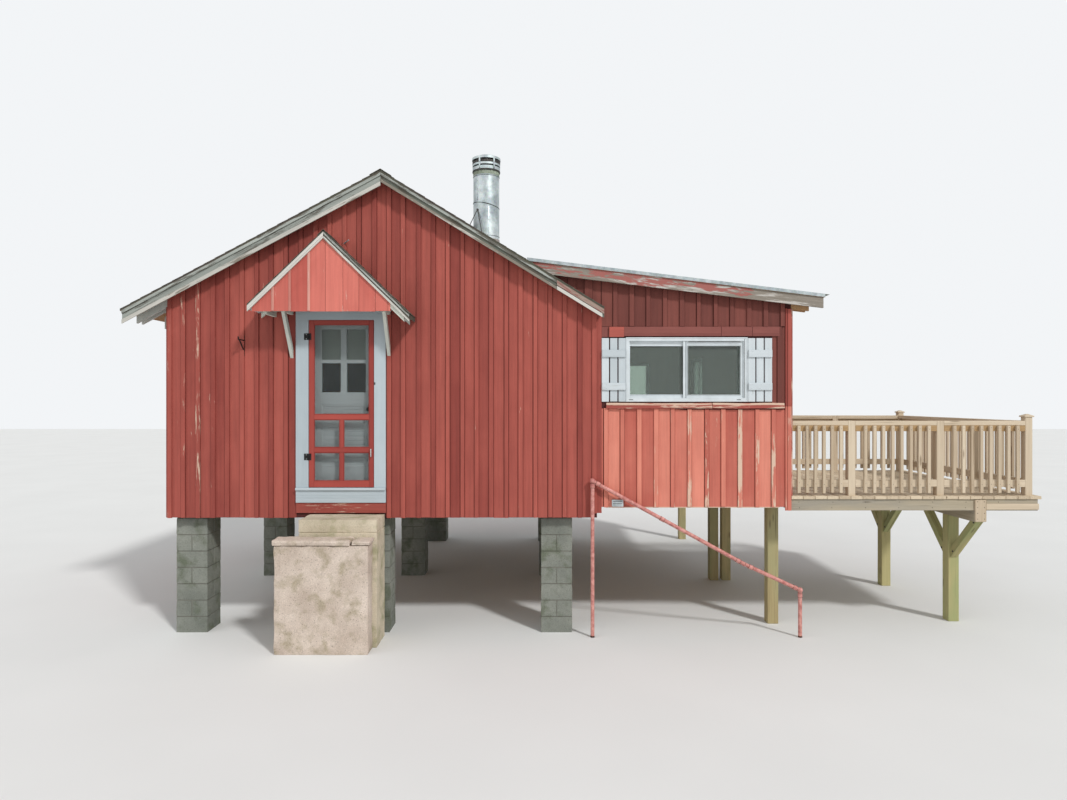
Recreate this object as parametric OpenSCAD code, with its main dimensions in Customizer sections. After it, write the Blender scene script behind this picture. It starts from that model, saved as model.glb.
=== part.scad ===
// Lakeside cabin on piers: gabled main room, shed-roofed addition and a raised railed deck.
// Millimetres. X runs along the front, Y runs back from the front wall, Z is up.
// Inside this file x = 0 is the left corner of the front wall and y = 0 is its outer face.
// place() moves the whole cabin so that its box stands centred on the origin.

/* [Main cabin] */
// Width of the gabled front wall
main_w = 5234; // [4400:10:6200]
// Depth of the building from front wall to back wall
main_d = 6400; // [5200:10:8000]
// Thickness of the framed walls with their boards
wall_t = 120; // [90:1:160]
// Height of the bottom of the main siding above the lowest ground
siding_z = 1436; // [1300:1:1500]
// Height of the inside floor above the lowest ground
floor_z = 1772; // [1760:1:1790]
// Thickness of the floor boards
floor_t = 30; // [18:1:45]
// Distance of the ridge to the right of the front wall's middle
ridge_off = 6; // [-150:1:150]
// Height of the ridge
ridge_z = 5620; // [5400:1:5900]
// Rise over run of the left roof slope
slope_l = 0.534; // [0.45:0.001:0.6]
// Rise over run of the right roof slope
slope_r = 0.611; // [0.56:0.001:0.68]
// Reach of the left roof edge beyond the wall
eave_l = 480; // [300:5:600]
// Reach of the right roof edge past the joint with the addition
eave_r = 73; // [20:1:150]
// Reach of the main roof beyond the front and back walls
rake_out = 150; // [80:1:300]

/* [Roof layers] */
// Thickness of the shingles on the main roof
roofing_t = 16; // [10:1:25]
// Thickness of the roof boards
deck_t = 28; // [18:1:40]
// Reach of the roofing past the boards at an edge
roofing_lip = 15; // [5:1:30]
// Height of a rafter, square to the slope
rafter_h = 140; // [110:1:180]
// Thickness of a rafter
rafter_t = 38; // [30:1:60]
// Widest spacing of the rafters
rafter_step = 610; // [400:10:700]
// Reach of the left rafter tails beyond the wall
tail_l = 385; // [200:5:470]
// Thickness of a rake board
rake_t = 25; // [18:1:40]
// Height of a rake board on the main roof, square to the slope
rake_h = 140; // [100:1:160]
// Height of the ridge board
ridge_h = 184; // [150:1:240]

/* [Addition] */
// Width of the addition
add_w = 2366; // [2200:1:2800]
// Height of the bottom of the addition's siding above the lowest ground
add_siding_z = 1565; // [1500:1:1600]
// Height of the addition's roof above the joint with the main cabin
add_roof_z = 4472; // [4350:1:4600]
// Rise over run of the addition's roof
add_slope = 0.122; // [0.08:0.001:0.16]
// Thickness of the addition's roofing at its edge
add_roofing_t = 30; // [20:1:40]
// Reach of the addition's roof beyond its side wall
add_eave = 355; // [250:5:450]
// Reach of the addition's rafter tails beyond its side wall
add_tail = 220; // [100:5:240]
// Reach of the addition's roof beyond its front wall
add_rake_out = 110; // [60:1:140]
// Height of the addition's rake board
add_rake_h = 130; // [90:1:160]
// Height of the beam under the right eave of the main roof
eave_beam_h = 240; // [180:1:300]

/* [Piers and posts] */
// Side of a block pier
pier_w = 390; // [300:1:450]
// Distance of the outer piers' centres from the corners
pier_inset = 300; // [240:5:500]
// Height of the floor beams
beam_h = 140; // [120:1:160]
// Side of a heavy post
post_w = 140; // [120:1:160]
// Height of a main floor joist
joist_h = 184; // [150:1:200]
// Height of a joist under the addition
add_joist_h = 140; // [110:1:170]
// Widest spacing of the floor joists
joist_step = 610; // [400:10:700]
// Distance of the addition's first post from the front
add_post_front = 450; // [200:5:700]
// Distance of the addition's doubled post from the front
add_post_mid = 2700; // [2300:5:3200]
// Space between the two posts of the doubled post
add_post_gap = 55; // [20:1:80]

/* [Front door] */
// Distance of the screen door's hinged edge from the left corner
door_x = 1729; // [1600:1:1800]
// Width of the screen door
screen_w = 788; // [740:1:860]
// Height of the screen door
screen_h = 2032; // [1950:1:2060]
// Height of the screen door's bottom above the inside floor
door_lift = 37; // [30:1:45]
// Thickness of the screen door
screen_t = 28; // [22:1:32]
// Gap round the doors at the hinges, head and sill
door_gap = 5; // [5:0.5:7]
// Gap at the latch side of the doors
latch_gap = 8; // [8:0.5:12]
// Thickness of the inner door
inner_t = 44; // [35:1:50]
// Thickness of the door jambs
jamb_t = 30; // [20:1:40]
// Step of the jamb behind the screen door's edge
jamb_step = 14; // [8:1:20]
// Width of the left door casing
casing_l = 154; // [120:1:180]
// Width of the right door casing
casing_r = 137; // [120:1:180]
// Height of the casing over the door
casing_head = 102; // [80:1:140]
// Thickness of the casing
casing_t = 38; // [34:1:45]
// Height of the white board under the door
sill_h = 182; // [140:1:200]
// Height of the red board under the sill
apron_h = 125; // [100:1:130]

/* [Hood] */
// Distance of the hood's peak from the left corner
hood_x = 2016; // [1950:1:2100]
// Height of the hood's peak
hood_z = 4833; // [4760:1:4900]
// Rise over run of the hood roof
hood_slope = 0.966; // [0.9:0.001:1.05]
// Reach of the hood's left slope from its peak
hood_l = 885; // [860:1:950]
// Reach of the hood's right slope from its peak
hood_r = 998; // [900:1:1060]
// Height of the bottom of the hood's boards
hood_foot_z = 3908; // [3880:1:3930]
// Reach of the hood's front boards from the wall
hood_d = 400; // [330:5:450]
// Thickness of the hood roof
hood_t = 38; // [25:1:50]
// Height of the foot of the hood's brackets on the wall
bracket_z = 3370; // [3200:5:3500]

/* [Front window] */
// Distance of the window from the joint with the addition
win_x = 351; // [340:1:380]
// Width of the window
win_w = 1485; // [1400:1:1500]
// Height of the window's bottom above the lowest ground
win_z = 2848; // [2800:1:2900]
// Height of the window
win_h = 787; // [740:1:800]
// Width of a shutter
shutter_w = 293; // [240:1:300]
// Width of the plain windows on the hidden sides
side_win_w = 900; // [700:10:1100]

/* [Chimney] */
// Distance of the chimney's axis from the left corner
chimney_x = 3784; // [3400:1:4000]
// Outer diameter of the chimney pipe
pipe_d = 370; // [300:1:420]
// Height of the chimney's top above the lowest ground
chimney_z = 6357; // [6200:1:6500]

/* [Deck] */
// Reach of the deck frame from the addition's side wall
deck_w = 3014; // [2800:1:3400]
// Depth of the deck frame
deck_d = 3260; // [3000:10:3600]
// Height of the deck's surface above the lowest ground
deck_z = 1699; // [1650:1:1730]
// Thickness of the deck boards
deck_board_t = 38; // [25:1:45]
// Overhang of the deck boards at the right and back
deck_lip = 36; // [10:1:50]
// Height of the deck joists and rim
rim_h = 140; // [120:1:160]
// Distance of the deck's beam from the side wall
deck_beam_x = 2236; // [2000:1:2500]
// Distance of the first braced post from the front
deck_post_front = 550; // [450:5:800]
// Distance of the second braced post from the front
deck_post_back = 2350; // [1900:5:2600]
// Height of the rail above the deck
rail_h = 915; // [860:1:1000]
// Side of a rail post
rail_post_w = 89; // [80:1:100]
// Distance of the first rail post from the side wall
rail_post_x = 761; // [600:1:900]
// Spacing of the balusters
baluster_step = 112; // [100:1:125]

/* [Step and handrail] */
// Distance of the step from the left corner
step_x = 1734; // [1650:1:1760]
// Width of the step
step_w = 914; // [860:1:960]
// Depth of the step
step_d = 455; // [380:5:500]
// Height of the step's top above the lowest ground
step_z = 1483; // [1460:1:1490]
// Reach of the lower stone in front of the step
stone_d = 265; // [200:5:350]
// Width of the lower stone
stone_w = 1116; // [1000:1:1200]
// Height of the lower stone's top above the lowest ground
stone_z = 1298; // [1250:1:1330]
// Outer diameter of the pipe handrail
handrail_d = 46; // [38:1:50]

/* [Hidden] */
$fn = 48;

// Hair's breadth between sloped faces that rest on each other
fit_gap = 0.05;
seat_over = 50;
ridge_x = main_w / 2 + ridge_off;

// Slant factors turn a thickness square to a slope into a height
k_l = sqrt(1 + slope_l * slope_l);
k_r = sqrt(1 + slope_r * slope_r);
k_a = sqrt(1 + add_slope * add_slope);
k_h = sqrt(1 + hood_slope * hood_slope);
under_l = (roofing_t + deck_t) * k_l;
under_r = (roofing_t + deck_t) * k_r;
under_a = (add_roofing_t + deck_t) * k_a;
edge_a = add_roofing_t * k_a;
seat_l = under_l + fit_gap;
seat_r = under_r + fit_gap;
seat_a = under_a + fit_gap;

// Roof surfaces as heights over x
function top_l(x) = ridge_z - slope_l * (ridge_x - x);
function top_r(x) = ridge_z - slope_r * (x - ridge_x);
function top_a(x) = add_roof_z - add_slope * (x - main_w);
function top_h(x) = hood_z - hood_slope * abs(x - hood_x);

// Plan of the building
add_x1 = main_w + add_w;
in_y0 = wall_t;
in_y1 = main_d - wall_t;
main_end = main_w + eave_r;
meet = ridge_z + slope_r * ridge_x - add_roof_z - add_slope * main_w;
add_end = add_x1 + add_eave;

// Where a line that lies d below the addition's roof surface meets the main roof
function meet_x(d) = (meet + d + fit_gap) / (slope_r - add_slope);

// Floor
joist_z = floor_z - floor_t - joist_h;
pier_top = joist_z - beam_h;

// Repeats along the depth and the width
rafter_n = ceil((in_y1 - in_y0 - rafter_t) / rafter_step) + 1;
rafter_pitch = (in_y1 - in_y0 - rafter_t) / (rafter_n - 1);
joist_n = ceil((main_w - wall_t - rafter_t) / joist_step) + 1;
joist_pitch = (main_w - wall_t - rafter_t) / (joist_n - 1);
pier_rows = [pier_inset, main_d / 2, main_d - pier_inset];
pier_col_shifts = [-60, -127, -188];
pier_cols = [pier_inset + pier_col_shifts[0], main_w / 2 + pier_col_shifts[1],
    main_w - pier_inset + pier_col_shifts[2]];

// Doorway
screen_z = floor_z + door_lift;
cas_x0 = door_x - door_gap;
cas_x1 = door_x + screen_w + latch_gap;
jamb_x0 = cas_x0 + jamb_step;
jamb_x1 = cas_x1 - jamb_step;
open_x0 = jamb_x0 - jamb_t;
open_x1 = jamb_x1 + jamb_t;
sill_z = screen_z - door_gap;
cas_top = screen_z + screen_h + door_gap;
jamb_top = cas_top - jamb_step;
open_top = jamb_top + jamb_t;
inner_x0 = jamb_x0 + door_gap;
inner_x1 = jamb_x1 - latch_gap;
inner_y0 = wall_t - inner_t;
inner_top = jamb_top - door_gap;
stop_w = 12;
stop_t = 14;
lip_t = 30;
lip_out = 65;

// Hinges
hinge_r = 6;
hinge_plate = 3;
hinge_off = hinge_r + 2;
pin_r = 3;
pin_play = 0.1;
leaf_gap = 1;
knuckle_web = 3;
knuckle_gap = 0.5;
screen_hinge_h = 80;
screen_leaf = 32;
screen_fixed_leaf = 55;
inner_hinge_h = 90;
inner_leaf = 40;
inner_fixed_leaf = 45;
screen_pin = [door_x - door_gap / 2, -casing_t - hinge_off];
inner_pin = [jamb_x0 + door_gap / 2, wall_t + hinge_off];
screen_hinges = [screen_z + 330, screen_z + 1790];
inner_hinges = [screen_z + 200, screen_z + 1000, screen_z + 1750];

// Hood
hood_under = hood_t * k_h;
hood_seat = hood_under + fit_gap;
hood_y = -hood_d;
hood_board_t = 20;
hood_lip = 30;
hood_trim_h = 60;
hood_tip_l = 46;
hood_tip_r = 220;
hood_boards_x0 = hood_x - hood_l + hood_tip_l;
hood_boards_x1 = hood_x + hood_r - hood_tip_r;
arm_w = 38;
arm_h = 89;
arm_off_l = 57;
arm_off_r = 37;
arm_x0 = cas_x0 - casing_l - arm_off_l - arm_w / 2;
arm_x1 = cas_x1 + casing_r + arm_off_r - arm_w / 2;
bracket_back = 70;
bracket_foot_h = 130;
bracket_head = 75;

// Screen door, with its panes as x0, x1, z0, z1
screen_stile_l = 62;
screen_stile_r = 55;
screen_mid = door_x + 398;
screen_mid_w = 46;
screen_bar = 61;
screen_foot = 76;
screen_head = 54;
screen_rail = screen_z + 823;
screen_low_rail = screen_z + 422;
screen_in_x0 = door_x + screen_stile_l;
screen_in_x1 = door_x + screen_w - screen_stile_r;
screen_cols = [[screen_in_x0, screen_mid - screen_mid_w / 2], [screen_mid + screen_mid_w / 2, screen_in_x1]];
screen_rows = [[screen_z + screen_foot, screen_low_rail], [screen_low_rail + screen_bar, screen_rail]];
screen_panes = concat(
    [[screen_in_x0, screen_in_x1, screen_rail + screen_bar, screen_z + screen_h - screen_head]],
    [for (z = screen_rows, x = screen_cols) [x[0], x[1], z[0], z[1]]]
);
pull_up = 378;
pull_h = 85;
pull_out = 34;
pull_r = 7;

// Inner door, with its panes as x0, x1, z0, z1
inner_mid = (inner_x0 + inner_x1) / 2;
inner_stile = 105;
inner_muntin = 66;
inner_rows = [[1151, 1516], [1553, 1935]];
inner_panes = [for (z = inner_rows)
    for (x = [[inner_x0 + inner_stile, inner_mid - inner_muntin / 2],
        [inner_mid + inner_muntin / 2, inner_x1 - inner_stile]])
        [x[0], x[1], screen_z + z[0], screen_z + z[1]]];
inner_panel = [240, 1000];
inner_panel_deep = 8;
knob_up = 950;
knob_in = 12;
knob_profile = [[0, 0], [28, 0], [28, 5], [11, 8], [11, 26], [24, 34], [28, 42], [24, 51], [0, 55]];

// Windows
win_x0 = main_w + win_x;
win_x1 = win_x0 + win_w;
win_proud = 12;
frame_deep = 75;
frame_face = 45;
glass_l = 51;
glass_r = 84;
glass_top = 106;
glass_foot = 89;
glass_y = 40;
glass_t = 6;
meeting_w = 48;
sash_deep_l = 25;
sash_deep_r = 10;
meeting_x = win_x0 + 710;
side_face = 50;
side_win_from_back = 1792;
side_win_y = main_d - side_win_from_back;
shutter_gap = 2;
shutter_t = 20;
shutter_board_share = 0.3;
shutter_short = 9;
shutter_batten_h = 90;
shutter_batten_in = 6;
shutter_batten_low = 100;
shutter_batten_down = 190;

// Trim boards of the front window
trim_off_l = 88;
trim_off_r = 91;
trim_up = 13;
trim_h = 115;
drip_off_l = 51;
drip_off_r = 148;
drip_down = 15;
drip_h = 67;
drip_out = 45;
corner_w = 73;
corner_down = 42;
corner_t = 22;
corner_gap = 4;

// Door to the deck
deck_door_w = screen_w + 2 * jamb_t;
deck_door_y = 1100;
deck_casing_w = 80;
deck_casing_t = 20;
deck_stile = 110;
deck_door_in = 20;
deck_pane_foot = 300;
deck_pane_head = 120;
deck_pane = [deck_door_y + jamb_t + deck_stile, deck_door_y + deck_door_w - jamb_t - deck_stile,
    floor_z + deck_pane_foot, open_top - jamb_t - deck_pane_head];

// Chimney
bay = 2;
chimney_y = in_y0 + rafter_t / 2 + (bay + 0.5) * rafter_pitch;
pipe_r = pipe_d / 2;
pipe_wall = 25;
pipe_hole_gap = 25;
pipe_foot = 150;
cap_h = 245;
cap_out = 12;
cap_neck = 22;
cap_band_h = 62;
cap_slot_h = 22;
cap_lid_h = 32;
cap_lid_out = 6;
// Points of the cap's dome, as shares of its width and heights over the lid
cap_dome = [[0.72, 26], [0.4, 38]];
flashing_out = 140;
flashing_t = 4;
collar_t = 6;
collar_h = 40;
collar_gap = 0.3;

// Deck
deck_x1 = add_x1 + deck_w;
deck_nose = 20;
deck_top = deck_z - deck_board_t;
rim_z = deck_top - rim_h;
rim_t = 38;
rail_x1 = deck_x1 - rim_t - rail_post_w / 2;
rail_y0 = rim_t + rail_post_w / 2;
rail_y1 = deck_d - rim_t - rail_post_w / 2;
rail_bays = 3;
function half_mm(v) = round(2 * v) / 2;
rail_cols = [add_x1 + rail_post_x, half_mm((add_x1 + rail_post_x + rail_x1) / 2), rail_x1];
rail_rows = [for (i = [0:rail_bays]) half_mm(rail_y0 + i * (rail_y1 - rail_y0) / rail_bays)];
rail_top = deck_z + rail_h;
cap_post_h = 47;
cap_post_z = rail_top + cap_post_h;
post_cap_out = 13;
post_cap_t = 18;
post_point_in = 7;
post_point_h = 20;
post_point_share = 0.2;
bar_t = 38;
rail_board_h = 89;
low_rail_z = 104;
baluster_foot = 73;
baluster_down = 49;
joist_spacing = 406;
brace_cut = 126;
brace_in = 25;
beam_x = add_x1 + deck_beam_x;
beam_z = rim_z - post_w;

// Lower stone of the entry step
stone_left = 24;
stone_in = 20;
stone_lip_h = 65;

// Pipe handrail, with its points as x and z
rail_r = handrail_d / 2;
pipe_y = -75;
pipe_top = [main_w - 61, 1890];
pipe_kink = [main_w + 1772, 886];
pipe_end = [main_w + 2450, 571];
pipe_slope = (pipe_kink[1] - pipe_top[1]) / (pipe_kink[0] - pipe_top[0]);
pipe_bracket_x = main_w + 292;
pipe_bracket_r = 10;
pipe_plate_r = 28;
pipe_plate_t = 6;
pipe_joint_out = 4;
pipe_ball_r = 33;

// Iron hanger, with its arm, brace and hook as distances from the wall and heights over its foot
hanger_off = 814;
hanger_up = 36;
hanger_w = 24;
hanger_t = 6;
hanger_h = 257;
hanger_bar = [6, 18];
hanger_seat = 5;
hanger_out = 180;
hanger_arm = [185, 197];
hanger_brace = [[-5, 60], [-5, 78], [-130, 186], [-148, 186]];
hanger_hook_t = 10;
hanger_hook = [190, 225];

// Junction box under the window
junction_off = 180;
junction_w = 131;
junction_d = 50;
junction_up = 15;
junction_h = 76;

// The whole cabin's box, for its origin
box_x0 = -eave_l - roofing_lip;
box_x1 = max(deck_x1 + deck_lip, add_end + roofing_lip);
box_y0 = min(-step_d - stone_d, -hood_d - hood_lip, -rake_out - roofing_lip);
box_y1 = main_d + rake_out + roofing_lip;

module place() {
    translate([-(box_x0 + box_x1) / 2, -(box_y0 + box_y1) / 2, 0]) children();
}

// Straight block between two corners
module block(x0, x1, y0, y1, z0, z1) {
    translate([x0, y0, z0]) cube([x1 - x0, y1 - y0, z1 - z0]);
}

// Outline drawn on the front plane and run from y0 to y1
module front_slab(points, y0, y1) {
    translate([0, y1, 0]) rotate([90, 0, 0]) linear_extrude(y1 - y0) polygon(points);
}

// Outline drawn on a side plane and run from x0 to x1
module side_slab(points, x0, x1) {
    translate([x0, 0, 0]) rotate([90, 0, 90]) linear_extrude(x1 - x0) polygon(points);
}

// Sloped band with plumb ends, from a to b below the line between two points
module band(x0, z0, x1, z1, a, b, y0, y1) {
    front_slab([[x0, z0 - a], [x1, z1 - a], [x1, z1 - b], [x0, z0 - b]], y0, y1);
}

// Everything under the addition's roof boards and over the main roof
module add_profile(z0, y0, y1) {
    start = meet_x(seat_a);
    joint_x = main_end + fit_gap;
    front_slab([
        [main_w, z0], [add_x1, z0], [add_x1, top_a(add_x1) - seat_a],
        [start, top_a(start) - seat_a], [joint_x, top_r(main_end) + fit_gap],
        [joint_x, top_r(main_end) - seat_r], [main_w, top_r(main_w) - seat_r]
    ], y0, y1);
}

// Gable of the main cabin up to the roof boards
module gable(y0, y1) {
    front_slab([
        [0, siding_z], [main_w, siding_z], [main_w, top_r(main_w) - seat_r],
        [ridge_x, ridge_z - seat_r], [ridge_x, ridge_z - seat_l], [0, top_l(0) - seat_l]
    ], y0, y1);
}

module part_of_front(x0, x1, z0, z1) {
    intersection() {
        gable(0, wall_t);
        block(x0, x1, -1, wall_t + 1, z0, z1);
    }
}

// Piers, posts and floor
module block_piers() {
    color("darkgray") place()
        for (x = pier_cols, y = pier_rows)
            block(x - pier_w / 2, x + pier_w / 2, y - pier_w / 2, y + pier_w / 2, 0, pier_top);
}
module floor_beams() {
    color("peru") place() {
        for (y = pier_rows)
            block(wall_t, main_w, y - post_w / 2, y + post_w / 2, pier_top, joist_z);
        block(add_x1 - wall_t - post_w, add_x1 - wall_t, in_y0, in_y1, add_siding_z, floor_z - floor_t);
    }
}

module main_floor_joists() {
    color("burlywood") place()
        for (i = [0:joist_n - 1])
            translate([wall_t + i * joist_pitch, in_y0, joist_z])
                cube([rafter_t, in_y1 - in_y0, joist_h]);
}

module addition_floor_joists() {
    color("burlywood") place()
        for (i = [0:rafter_n - 1])
            translate([main_w, in_y0 + i * rafter_pitch, floor_z - floor_t - add_joist_h])
                cube([add_w - wall_t - post_w, rafter_t, add_joist_h]);
}

module floor_boards() {
    color("tan") place()
        block(wall_t, add_x1 - wall_t, in_y0, in_y1, floor_z - floor_t, floor_z);
}

module addition_posts() {
    inner_x = add_x1 - post_w - add_post_gap;
    color("tan") place() {
        for (y = [add_post_front, add_post_mid, main_d - pier_inset])
            block(add_x1 - post_w, add_x1, y, y + post_w, 0, add_siding_z);
        block(inner_x - post_w, inner_x, add_post_mid, add_post_mid + post_w, 0, add_siding_z);
    }
}

// Walls
module front_wall_left() {
    color("indianred") place() part_of_front(-1, open_x0, 0, ridge_z);
}

module front_wall_right() {
    color("indianred") place() part_of_front(open_x1, main_w + 1, 0, ridge_z);
}

module front_wall_over_door() {
    color("indianred") place() part_of_front(open_x0, open_x1, open_top, ridge_z);
}

module front_wall_under_door() {
    color("indianred") place() part_of_front(open_x0, open_x1, 0, floor_z);
}

// Rafters, drawn higher than they are by over where they cut their seats in a wall
module rafter_row_left(over = 0) {
    for (i = [0:rafter_n - 1]) {
        y = in_y0 + i * rafter_pitch;
        band(-tail_l, top_l(-tail_l), ridge_x - rafter_t / 2, top_l(ridge_x - rafter_t / 2),
            seat_l - over, seat_l + rafter_h * k_l, y, y + rafter_t);
    }
}

module rafter_row_right() {
    for (i = [0:rafter_n - 1]) {
        y = in_y0 + i * rafter_pitch;
        band(ridge_x + rafter_t / 2, top_r(ridge_x + rafter_t / 2), main_end, top_r(main_end),
            seat_r, seat_r + rafter_h * k_r, y, y + rafter_t);
    }
}

module rafter_row_addition(over = 0) {
    low = seat_a + rafter_h * k_a;
    start = meet_x(seat_a);
    low_start = meet_x(low);
    tail_x = add_x1 + add_tail;
    for (i = [0:rafter_n - 1]) {
        y = in_y0 + i * rafter_pitch;
        front_slab([[start, top_a(start) - seat_a + over], [tail_x, top_a(tail_x) - seat_a + over],
            [tail_x, top_a(tail_x) - low], [low_start, top_a(low_start) - low]], y, y + rafter_t);
    }
}

module left_wall() {
    color("indianred") place()
        difference() {
            front_slab([[0, siding_z], [wall_t, siding_z], [wall_t, top_l(wall_t) - seat_l],
                [0, top_l(0) - seat_l]], in_y0, in_y1);
            rafter_row_left(seat_over);
            side_opening(-1, wall_t + 1, main_d / 2, win_z, side_win_w, win_h);
        }
}

module back_wall() {
    color("indianred") place()
        difference() {
            gable(in_y1, main_d);
            back_opening(main_w / 2, side_win_w);
        }
}

module addition_front_wall() {
    color("indianred") place()
        difference() {
            add_profile(add_siding_z, 0, wall_t);
            block(main_w + win_x, main_w + win_x + win_w, -1, wall_t + 1, win_z, win_z + win_h);
        }
}

module addition_side_wall() {
    color("indianred") place()
        difference() {
            front_slab([[add_x1 - wall_t, add_siding_z], [add_x1, add_siding_z],
                [add_x1, top_a(add_x1) - seat_a], [add_x1 - wall_t, top_a(add_x1 - wall_t) - seat_a]],
                in_y0, in_y1);
            rafter_row_addition(seat_over);
            side_opening(add_x1 - wall_t - 1, add_x1 + 1, side_win_y, win_z, side_win_w, win_h);
            block(add_x1 - wall_t - 1, add_x1 + 1, deck_door_y, deck_door_y + deck_door_w,
                floor_z, open_top);
        }
}
module addition_back_wall() {
    color("indianred") place()
        difference() {
            add_profile(add_siding_z, in_y1, main_d);
            back_opening(main_w + add_w / 2, side_win_w);
        }
}

module side_opening(x0, x1, y, z, w, h) {
    block(x0, x1, y - w / 2, y + w / 2, z, z + h);
}

module back_opening(x, w) {
    block(x - w / 2, x + w / 2, in_y1 - 1, main_d + 1, win_z, win_z + win_h);
}

// Roof frame
module eave_beam() {
    low_r = seat_r + rafter_h * k_r + fit_gap;
    x0 = main_w - rafter_t * 2;
    base = top_r(main_w) - low_r - eave_beam_h;
    color("burlywood") place()
        front_slab([[x0, base], [main_w, base], [main_w, top_r(main_w) - low_r],
            [x0, top_r(x0) - low_r]], in_y0, in_y1);
}

module ridge_board() {
    x0 = ridge_x - rafter_t / 2;
    x1 = ridge_x + rafter_t / 2;
    color("burlywood") place()
        front_slab([[x0, ridge_z - seat_r - ridge_h], [x1, ridge_z - seat_r - ridge_h],
            [x1, top_r(x1) - seat_r], [ridge_x, ridge_z - seat_r], [ridge_x, ridge_z - seat_l],
            [x0, top_l(x0) - seat_l]], in_y0, in_y1);
}

module rafters() {
    color("burlywood") place() {
        rafter_row_left();
        rafter_row_right();
        rafter_row_addition();
        for (y = [0, main_d - rafter_t])
            band(-tail_l, top_l(-tail_l), 0, top_l(0), seat_l, seat_l + rafter_h * k_l, y, y + rafter_t);
        for (y = [0, main_d - rafter_t])
            band(add_x1, top_a(add_x1), add_x1 + add_tail, top_a(add_x1 + add_tail),
                seat_a, seat_a + rafter_h * k_a, y, y + rafter_t);
    }
}

// Roof slopes
module main_roof_left() {
    x0 = -eave_l - roofing_lip;
    color("dimgray") place() {
        band(x0, top_l(x0), ridge_x, ridge_z, 0, roofing_t * k_l,
            -rake_out - roofing_lip, main_d + rake_out + roofing_lip);
        band(-eave_l, top_l(-eave_l), ridge_x, ridge_z, roofing_t * k_l, under_l,
            rake_t - rake_out, main_d + rake_out - rake_t);
    }
}

module main_roof_right() {
    color("dimgray") place()
        difference() {
            union() {
                band(ridge_x, ridge_z, main_end, top_r(main_end), 0, roofing_t * k_r,
                    -rake_out - roofing_lip, main_d + rake_out + roofing_lip);
                band(ridge_x, ridge_z, main_end, top_r(main_end), roofing_t * k_r, under_r,
                    rake_t - rake_out, main_d + rake_out - rake_t);
            }
            translate([chimney_x, chimney_y, top_r(chimney_x) - pipe_d])
                cylinder(r = pipe_r + pipe_hole_gap, h = 2 * pipe_d);
        }
}

module main_rake_boards() {
    color("gainsboro") place()
        for (y = [-rake_out, main_d + rake_out - rake_t]) {
            band(-eave_l, top_l(-eave_l), ridge_x - 1, top_l(ridge_x - 1),
                roofing_t * k_l + fit_gap, (roofing_t + rake_h) * k_l, y, y + rake_t);
            band(ridge_x + 1, top_r(ridge_x + 1), main_end, top_r(main_end),
                roofing_t * k_r + fit_gap, (roofing_t + rake_h) * k_r, y, y + rake_t);
        }
}

module addition_roof() {
    start = meet_x(edge_a);
    under_start = meet_x(under_a);
    lip_x = add_end + roofing_lip;
    color("slategray") place() {
        front_slab([[start, top_a(start)], [lip_x, top_a(lip_x)], [lip_x, top_a(lip_x) - edge_a],
            [start, top_a(start) - edge_a]],
            -add_rake_out - roofing_lip, main_d + add_rake_out + roofing_lip);
        front_slab([[start, top_a(start) - edge_a], [add_end, top_a(add_end) - edge_a],
            [add_end, top_a(add_end) - under_a], [under_start, top_a(under_start) - under_a]],
            rake_t - add_rake_out, main_d + add_rake_out - rake_t);
    }
}

module addition_rake_boards() {
    high = edge_a + fit_gap;
    low = high + add_rake_h;
    start = meet_x(high);
    low_start = meet_x(low);
    color("indianred") place()
        for (y = [-add_rake_out, main_d + add_rake_out - rake_t])
            front_slab([[start, top_a(start) - high], [add_end, top_a(add_end) - high],
                [add_end, top_a(add_end) - low], [low_start, top_a(low_start) - low]], y, y + rake_t);
}

// Chimney
module chimney_pipe() {
    base = top_r(chimney_x + pipe_r) - seat_r - rafter_h * k_r - pipe_foot;
    color("silver") place()
        translate([chimney_x, chimney_y, base])
            difference() {
                cylinder(r = pipe_r, h = chimney_z - cap_h - base);
                translate([0, 0, -1]) cylinder(r = pipe_r - pipe_wall, h = chimney_z - cap_h - base + 2);
            }
}

module chimney_cap() {
    wide = pipe_r + cap_out;
    neck = pipe_r - cap_neck;
    brim = wide + cap_lid_out;
    slot_z = cap_band_h + cap_slot_h;
    band_z = slot_z + cap_band_h;
    lid_z = band_z + cap_slot_h;
    dome_z = lid_z + cap_lid_h;
    color("lightgray") place()
        translate([chimney_x, chimney_y, chimney_z - cap_h])
            rotate_extrude()
                polygon(concat(
                    [[0, 0], [wide, 0], [wide, cap_band_h], [neck, cap_band_h], [neck, slot_z]],
                    [[wide, slot_z], [wide, band_z], [neck, band_z], [neck, lid_z]],
                    [[brim, lid_z], [brim, dome_z]],
                    [for (p = cap_dome) [wide * p[0], dome_z + p[1]]],
                    [[0, cap_h]]
                ));
}

module chimney_flashing() {
    half = pipe_r + flashing_out;
    x0 = chimney_x - half;
    x1 = chimney_x + half;
    rise = 2 * half * slope_r + collar_h;
    color("gray") place()
        difference() {
            union() {
                band(x0, top_r(x0), x1, top_r(x1), -flashing_t, -fit_gap, chimney_y - half, chimney_y + half);
                intersection() {
                    translate([chimney_x, chimney_y, top_r(x1)]) cylinder(r = pipe_r + collar_t, h = rise);
                    band(x0, top_r(x0), x1, top_r(x1), -2 * rise, -flashing_t / 2,
                        chimney_y - half, chimney_y + half);
                }
            }
            translate([chimney_x, chimney_y, top_r(x1) - pipe_d])
                cylinder(r = pipe_r + collar_gap, h = pipe_d + 2 * rise);
        }
}

// Hood over the front door
module hood_outline(x0, x1, z0, y0, y1) {
    front_slab([[x0, z0], [x1, z0], [x1, top_h(x1) - hood_seat], [hood_x, hood_z - hood_seat],
        [x0, top_h(x0) - hood_seat]], y0, y1);
}

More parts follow.
